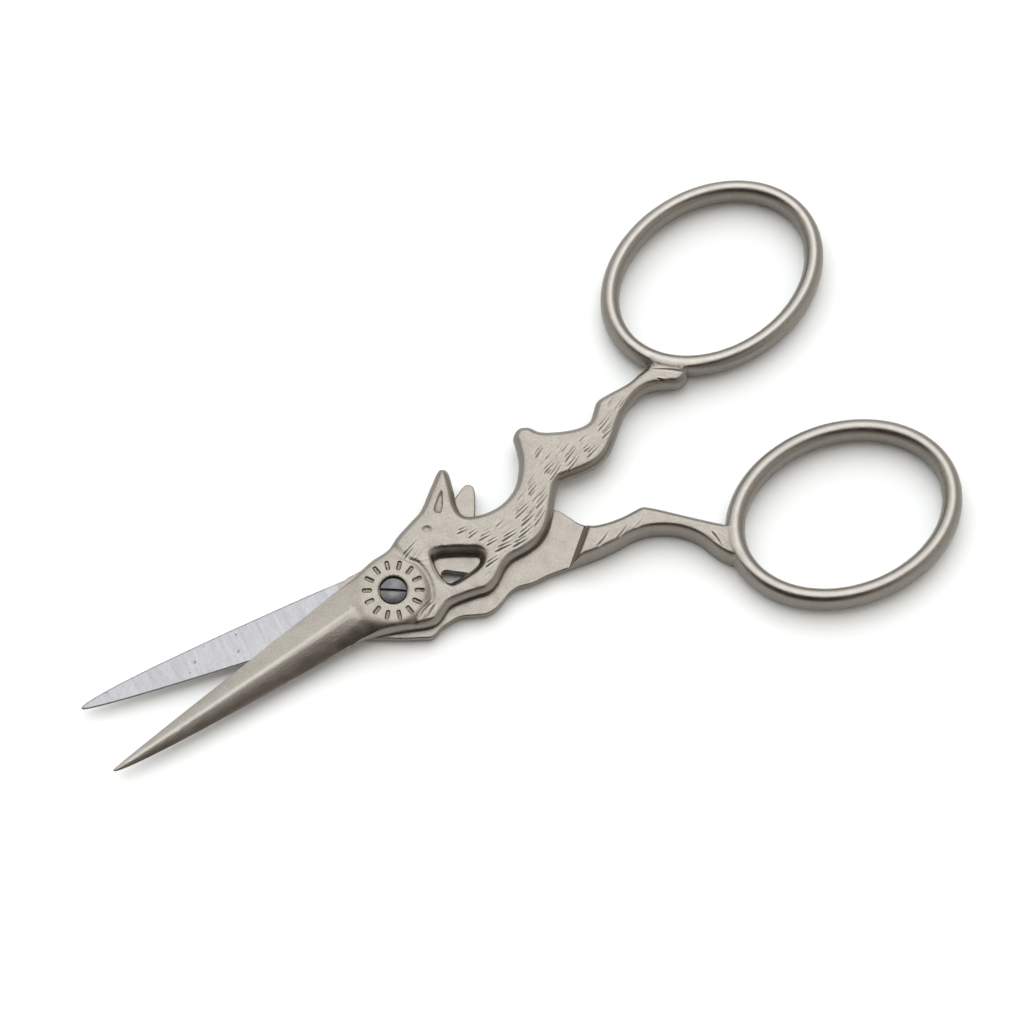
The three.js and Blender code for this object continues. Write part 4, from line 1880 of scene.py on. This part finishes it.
    def underside(self, points: np.ndarray) -> np.ndarray:
        """Give the height of the bottom face at each point.

        Args:
            points: Points in the plane, one row each.

        Returns:
            The height.
        """
        x = points[:, 0]
        d = self.edge.distance(points)
        edge_height = self.edge_height(points)
        low = self.lap * (1.0 - smoothstep(*self.step, x))
        leg = np.maximum(low, -self.leg_shoulder.height(d, -edge_height, 0.0))
        height = np.where(x < self.step[0], crisp_edge(d, edge_height, low), leg)
        on_ring = self.ring.section(points)
        paw = np.where(inside(points, self.figure), -height, NOWHERE)
        ringed = -smooth_max(-PARTING * (1.0 - on_ring), paw, RING_FILLET)
        return np.where(on_ring > 0.0, np.minimum(ringed, edge_height), height)

    def is_ground(self, carved: Carved, middles: np.ndarray) -> np.ndarray:
        """Tell which triangles belong to the blade's ground inner face, here on the underside.

        Args:
            carved: The mesh.
            middles: Middle of each triangle.

        Returns:
            True for each triangle of that face.
        """
        return ~carved.upper & on_ground_side(middles) & (middles[:, 2] < self.lap + self.ground_depth)


@dataclass
class BackHalf(Half):
    """The half that lies below: blade, lap, hind leg and lower ring in one piece.

    Attributes:
        step_place: X at which the foot of the step up to the hind leg crosses the middle line.
        step_angle: Direction of that foot, in degrees.
        step_lean: How far the step leans back.
        step_fillet: Rounding of the step's upper edge.
        step_ends: Where the mesh's rows along the step start and stop.
        step_gap: Distance from the edge at which those rows end.
        bevel: Width of the lap's bevelled edge.
        bevel_drop: Height of that bevel.
        under_shoulder: Edge of the underside.
        under_fillet: Rounding between the blade and the figure on the underside.
        throat_shade_reach: Distance from the opening in the throat within which its wall is given painted
            shade.
        pit: Shape of the small pits in the ground face.
    """

    node: str = "back_half"
    body: str = "lower"
    slot: str = "back_half_nickel"
    angle: float = -OPENING / 2
    layer: Layer = Layer.BELOW
    lap: float = LAP_BACK
    outline_corners: tuple[Point, ...] = (
        *HEAD_AND_NAPE, *BACK_SHOULDER_AND_LEG, *BACK_PAW, *BACK_LEG_AND_FLANK, *BELLY, *BACK_FOREPAW,
    )
    throat_corners: tuple[Point, ...] = tuple(BACK_THROAT)
    to_leg: Range = (19.5, 23.0)
    under_grain: Grain = CARVED_GRAIN
    bore_rim: float = LAP_BACK / 2
    blade: Blade = Blade(2.1, 0.61, 3.7, 0.62, EdgeSide.MINUS_Y)
    ring: FingerRing = FingerRing((37.45, -8.1), 173, 1, 12.45, 9.38, 1.12)
    step_place: float = 22.5
    step_angle: float = 50.0
    step_lean: float = 0.8
    step_fillet: float = 0.3
    step_ends: Range = (-6.5, 2.0)
    step_gap: float = 0.05
    bevel: float = 0.09
    bevel_drop: float = 0.07
    under_shoulder: Shoulder = Shoulder(draft=0.06, band=0.32, drop=0.3)
    under_fillet: float = 0.3
    throat_shade_reach: float = 0.05
    pit: Pit = Pit()

    def lay_out(self, outlines: list[np.ndarray]) -> None:
        """Set the distances to the outlines and the carvings, before the faces are made.

        Args:
            outlines: Outlines of the joined plates.
        """
        self.edge = EdgeField([loop for loop in outlines if np.hypot(*loop.T).max() >= BORE_REACH])
        self.cuts = [*BACK_FUR, *(self.pit.carving(*place) for place in PITS)]
        self.under_cuts = [*FUR, *MUZZLE_LINES, *BACK_FUR, *self.head.carvings()]

    def past_step(self, points: np.ndarray) -> np.ndarray:
        """Give the distance past the foot of the step, towards the ring."""
        a = math.radians(self.step_angle)
        return (points[:, 0] - self.step_place) * math.sin(a) - points[:, 1] * math.cos(a)

    def extra_rails(self) -> list[np.ndarray]:
        """Give the lines that the mesh follows along the foot and the top of the step.

        Returns:
            Points along each line.
        """
        a = math.radians(self.step_angle)
        marks = np.arange(*self.step_ends, OUTLINE_SPACING)
        along = np.column_stack([np.cos(a) * marks, np.sin(a) * marks])
        crest = [self.step_lean + k * OUTLINE_SPACING for k in (-1, 0, 1)]
        lines: list[np.ndarray] = []
        for past in (0.0, OUTLINE_SPACING / 2, *crest):
            line = along + np.array([self.step_place, 0.0]) + past * np.array([math.sin(a), -math.cos(a)])
            lines.append(self.clear_of_edge(line, self.step_gap))
        return lines

    def top(self, points: np.ndarray) -> np.ndarray:
        """Give the height of the top face at each point.

        Args:
            points: Points in the plane, one row each.

        Returns:
            The height.
        """
        d = self.edge.distance(points)
        edge_height = self.edge_height(points)
        in_figure = inside(points, self.figure)
        past = self.past_step(points)
        slope = self.lap + (FIGURE_TOP - self.lap) * np.clip(past, 0.0, None) / self.step_lean
        limit = self.leg_shoulder.height(d, edge_height, FIGURE_TOP)
        leg = -smooth_max(-limit, -slope, self.step_fillet)
        bevel = self.bevel_drop * np.clip(1.0 - (d - CRISP) / self.bevel, 0.0, 1.0)
        lap = crisp_edge(d, edge_height, self.lap - bevel)
        height = np.where((past > 0.0) & in_figure, np.maximum(leg, np.minimum(lap, slope)), lap)
        ring = self.ring_top(points)
        paw = np.where(in_figure, height, NOWHERE)
        height = np.where(ring > 0.0, smooth_max(paw, ring, RING_FILLET), height)
        return height - carve_depth(points, self.cuts)

    def underside(self, points: np.ndarray) -> np.ndarray:
        """Give the height of the bottom face at each point.

        Args:
            points: Points in the plane, one row each.

        Returns:
            The height.
        """
        d = self.edge.distance(points)
        edge_height = self.edge_height(points)
        plate = -self.under_shoulder.height(d, -edge_height, 0.0)
        plate = np.where(inside(points, self.figure), plate, -NOWHERE)
        blade = self.lap - self.blade.rise(points)
        height = -smooth_max(-plate, -blade, self.under_fillet)
        on_ring = self.ring.section(points)
        ring = np.where(on_ring > 0.0, PARTING * (1.0 - on_ring), -NOWHERE)
        height = -smooth_max(-height, -ring, RING_FILLET)
        return np.maximum(np.minimum(height, edge_height) + carve_depth(points, self.under_cuts), 0.0)

    def in_painted_shade(self, points: np.ndarray) -> np.ndarray:
        """Tell which points lie on the wall of the opening in the throat, which is given painted shade."""
        return EdgeField([self.throat]).distance(points[:, :2]) < self.throat_shade_reach

    def is_ground(self, carved: Carved, middles: np.ndarray) -> np.ndarray:
        """Tell which triangles belong to the blade's ground inner face, here on top."""
        return carved.upper & on_ground_side(middles)


@dataclass
class PivotScrew:
    """The slotted screw that joins the halves."""

    node: str = "pivot_screw"
    body: str = "lower"
    slot: str = "screw_steel"
    shank_radius: float = 0.9
    head_radius: float = 1.5
    head_seat: float = 2.6
    head_top: float = 3.34
    dome: tuple[Range, ...] = ((0.25, 0.075), (0.3, 0.06), (0.35, 0.045), (0.35, 0.02))
    chamfer: float = 0.1
    chamfer_rows: int = 3
    slot_width: float = 0.34
    slot_depth: float = 0.45
    slot_angle: float = -31.0
    sides: int = 96
    worn: float = 0.035
    worn_angle: float = 50.0
    worn_rows: int = 2
    smooth_angle: float = 30.0

    def build(self) -> bpy.types.Object:
        """Model the screw from a bar: a shank, a wider head, and a slot cut across it.

        Returns:
            The screw at its place in the frame.
        """
        bpy.ops.object.select_all(action="DESELECT")
        bpy.ops.mesh.primitive_cylinder_add(
            vertices=self.sides, radius=self.shank_radius, depth=self.head_seat,
            location=(0, 0, self.head_seat / 2),
        )
        screw = bpy.context.object
        screw.name = "pivot_screw_turned"
        bpy.ops.object.transform_apply(location=True, rotation=True, scale=True)
        self.raise_head(screw)
        self.cut_slot(screw)
        bevel = screw.modifiers.new("worn_edges", "BEVEL")
        bevel.width = self.worn
        bevel.segments = self.worn_rows
        bevel.limit_method = "ANGLE"
        bevel.angle_limit = math.radians(self.worn_angle)
        bpy.ops.object.modifier_apply(modifier=bevel.name)
        screw.scale = (MM, MM, MM)
        bpy.ops.object.transform_apply(location=True, rotation=True, scale=True)
        bpy.ops.object.shade_smooth_by_angle(angle=math.radians(self.smooth_angle))
        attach(screw, self.body)
        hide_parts(self.node)
        LOG.info("%s: %d faces", screw.name, len(screw.data.polygons))
        return screw

    @staticmethod
    def select_cap(piece: bpy.types.Object, height: float) -> None:
        """Enter edit mode with only the flat face at a height selected.

        Args:
            piece: The object.
            height: Height of the face, which points up.
        """
        bpy.ops.object.mode_set(mode="EDIT")
        bpy.ops.mesh.select_mode(type="FACE")
        bpy.ops.mesh.select_all(action="DESELECT")
        bpy.ops.object.mode_set(mode="OBJECT")
        for face in piece.data.polygons:
            face.select = face.normal.z > 0.9 and abs(face.center.z - height) < 1e-4
        bpy.ops.object.mode_set(mode="EDIT")

    def raise_head(self, screw: bpy.types.Object) -> None:
        """Draw the head up from the shank's end, round its rim and dome its top.

        Args:
            screw: The shank.
        """
        self.select_cap(screw, self.head_seat)
        grown = self.head_radius / self.shank_radius
        bpy.ops.mesh.extrude_region_move()
        bpy.ops.transform.resize(value=(grown, grown, 1.0))
        rise = self.head_top - self.head_seat
        bpy.ops.mesh.extrude_region_move(TRANSFORM_OT_translate={"value": (0, 0, rise)})
        bpy.ops.mesh.bevel(offset=self.chamfer, segments=self.chamfer_rows, affect="EDGES")
        bpy.ops.object.mode_set(mode="OBJECT")
        self.select_cap(screw, self.head_top)
        for inset, rise in self.dome:
            bpy.ops.mesh.inset(thickness=inset, depth=rise)
        bpy.ops.object.mode_set(mode="OBJECT")

    def cut_slot(self, screw: bpy.types.Object) -> None:
        """Cut the driver slot across the head.

        Args:
            screw: The screw, which ends up selected again.
        """
        bpy.ops.object.select_all(action="DESELECT")
        bpy.ops.mesh.primitive_cube_add(size=1.0, location=(0, 0, self.head_top))
        cutter = bpy.context.object
        cutter.scale = (4 * self.head_radius, self.slot_width, 2 * self.slot_depth)
        cutter.rotation_euler.z = math.radians(self.slot_angle)
        bpy.ops.object.transform_apply(location=True, rotation=True, scale=True)
        bpy.context.view_layer.objects.active = screw
        cut = screw.modifiers.new("slot", "BOOLEAN")
        cut.operation = "DIFFERENCE"
        cut.solver = "EXACT"
        cut.object = cutter
        bpy.ops.object.modifier_apply(modifier=cut.name)
        bpy.data.objects.remove(cutter)
        screw.select_set(True)

    def dress(self, screw: bpy.types.Object, steel: bpy.types.Material) -> None:
        """Give the screw its finish."""
        screw.data.materials.clear()
        screw.data.materials.append(steel)


@dataclass(frozen=True)
class SkyPatch:
    """A soft round patch of light or dark in the sky.

    Attributes:
        colour: Colour at its middle.
        tilt: Angle of its middle from straight above towards the far side, in degrees.
        aside: Turn of that side about the upright, in degrees.
        fade: Cosines of the angles from its middle at which it ends and is full.
    """

    colour: Colour
    tilt: float
    aside: float
    fade: Range


@dataclass
class Studio:
    """Floor, soft lights and camera."""

    target: tuple[float, float, float] = (16.25, 3.10, 0.0)
    camera_place: tuple[float, float, float] = (-70.2, -165.5, 583.0)
    lens: float = 194.06
    sensor: float = 36.0
    clip: Range = (0.01, 10.0)
    floor_size: float = 3000.0
    floor_colour: Colour = (0.93, 0.94, 0.935)
    floor_roughness: float = 0.9
    far: Point = (0.456, 0.890)
    side_colour: Colour = (1.03, 1.005, 0.95)
    patches: tuple[SkyPatch, ...] = (
        SkyPatch((0.08, 0.052, 0.036), -42.0, 12.0, (0.62, 0.9)),
        SkyPatch((2.34, 2.42, 2.46), 36.0, -18.0, (0.62, 0.94)),
        SkyPatch((4.0, 4.0, 3.95), 8.0, 5.0, (0.975, 0.998)),
    )
    key_tilt: float = 36.0
    key_aside: float = 12.0
    key_distance: float = 560.0
    key_size: float = 240.0
    key_power: float = 0.2

    def build(self) -> None:
        """Make the floor, the sky, the light and the camera."""
        self.floor()
        self.sky()
        self.softbox()
        self.camera()

    def floor(self) -> None:
        """Lay the pale floor under the part."""
        bpy.ops.object.select_all(action="DESELECT")
        bpy.ops.mesh.primitive_plane_add(size=self.floor_size * MM, location=(0, 0, 0))
        floor = bpy.context.object
        floor.name = "floor"
        material = bpy.data.materials.new("pale_paper")
        material.use_nodes = True
        shader = material.node_tree.nodes["Principled BSDF"]
        shader.inputs["Base Color"].default_value = (*self.floor_colour, 1.0)
        shader.inputs["Roughness"].default_value = self.floor_roughness
        floor.data.materials.append(material)

    def sky(self) -> None:
        """Light the far side of the sky softly and keep the near side dim."""
        world = bpy.data.worlds.new("studio")
        world.use_nodes = True
        background = world.node_tree.nodes["Background"]
        colour = None
        for patch in self.patches:
            colour = self.add_patch(world.node_tree, colour, patch)
        world.node_tree.links.new(colour, background.inputs["Color"])
        background.inputs["Strength"].default_value = 1.0
        bpy.context.scene.world = world

    def away(self, tilt: float, aside: float) -> Vector:
        """Give the direction that tilts towards the far side and is turned about the upright."""
        side = turn(np.array([self.far]), -aside)[0] * math.sin(math.radians(tilt))
        return Vector((side[0], side[1], math.cos(math.radians(tilt))))

    def add_patch(
        self, tree: bpy.types.NodeTree, under: bpy.types.NodeSocket | None, patch: SkyPatch
    ) -> bpy.types.NodeSocket:
        """Lay a patch over the sky.

        Args:
            tree: The sky's nodes.
            under: Colour of the sky so far, or None for the plain side colour.
            patch: The patch.

        Returns:
            The sky's colour with the patch.
        """
        towards = tree.nodes.new("ShaderNodeVectorMath")
        towards.operation = "DOT_PRODUCT"
        towards.inputs[1].default_value = self.away(patch.tilt, patch.aside)
        tree.links.new(tree.nodes.new("ShaderNodeTexCoord").outputs["Generated"], towards.inputs[0])
        share = tree.nodes.new("ShaderNodeMapRange")
        share.interpolation_type = "SMOOTHSTEP"
        share.inputs["From Min"].default_value = patch.fade[0]
        share.inputs["From Max"].default_value = patch.fade[1]
        tree.links.new(towards.outputs["Value"], share.inputs["Value"])
        ends, mixed = colour_mix(tree, share.outputs["Result"])
        ends[0].default_value = (*self.side_colour, 1.0)
        ends[1].default_value = (*patch.colour, 1.0)
        if under is not None:
            tree.links.new(under, ends[0])
        return mixed

    def softbox(self) -> None:
        """Hang the soft light."""
        data = bpy.data.lights.new("key_softbox", "AREA")
        data.shape = "SQUARE"
        data.size = self.key_size * MM
        data.energy = self.key_power
        light = bpy.data.objects.new("key_softbox", data)
        bpy.context.scene.collection.objects.link(light)
        away = self.away(self.key_tilt, self.key_aside)
        light.location = (Vector(self.target) + away * self.key_distance) * MM
        light.rotation_euler = away.to_track_quat("Z", "Y").to_euler()

    def camera(self) -> None:
        """Set the camera at the photograph's angle."""
        data = bpy.data.cameras.new("camera")
        data.lens = self.lens
        data.sensor_width = self.sensor
        data.clip_start, data.clip_end = self.clip
        camera = bpy.data.objects.new("camera", data)
        bpy.context.scene.collection.objects.link(camera)
        camera.location = Vector(self.camera_place) * MM
        away = Vector(self.target) - Vector(self.camera_place)
        camera.rotation_euler = away.to_track_quat("-Z", "Y").to_euler()
        bpy.context.scene.camera = camera


def main() -> None:
    """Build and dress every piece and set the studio."""
    logging.basicConfig(level=logging.INFO, format="%(name)s: %(message)s")
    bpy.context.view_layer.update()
    bpy.context.scene.view_settings.view_transform = "Standard"
    satin, ground = SatinNickel().material(), GroundSteel().material()
    for half in (FrontHalf(), BackHalf()):
        carved = half.build()
        half.dress(half.mesh_object(carved), carved, satin, ground)
    screw = PivotScrew()
    screw.dress(screw.build(), TurnedSteel().material())
    Studio().build()


if __name__ == "__main__":
    main()
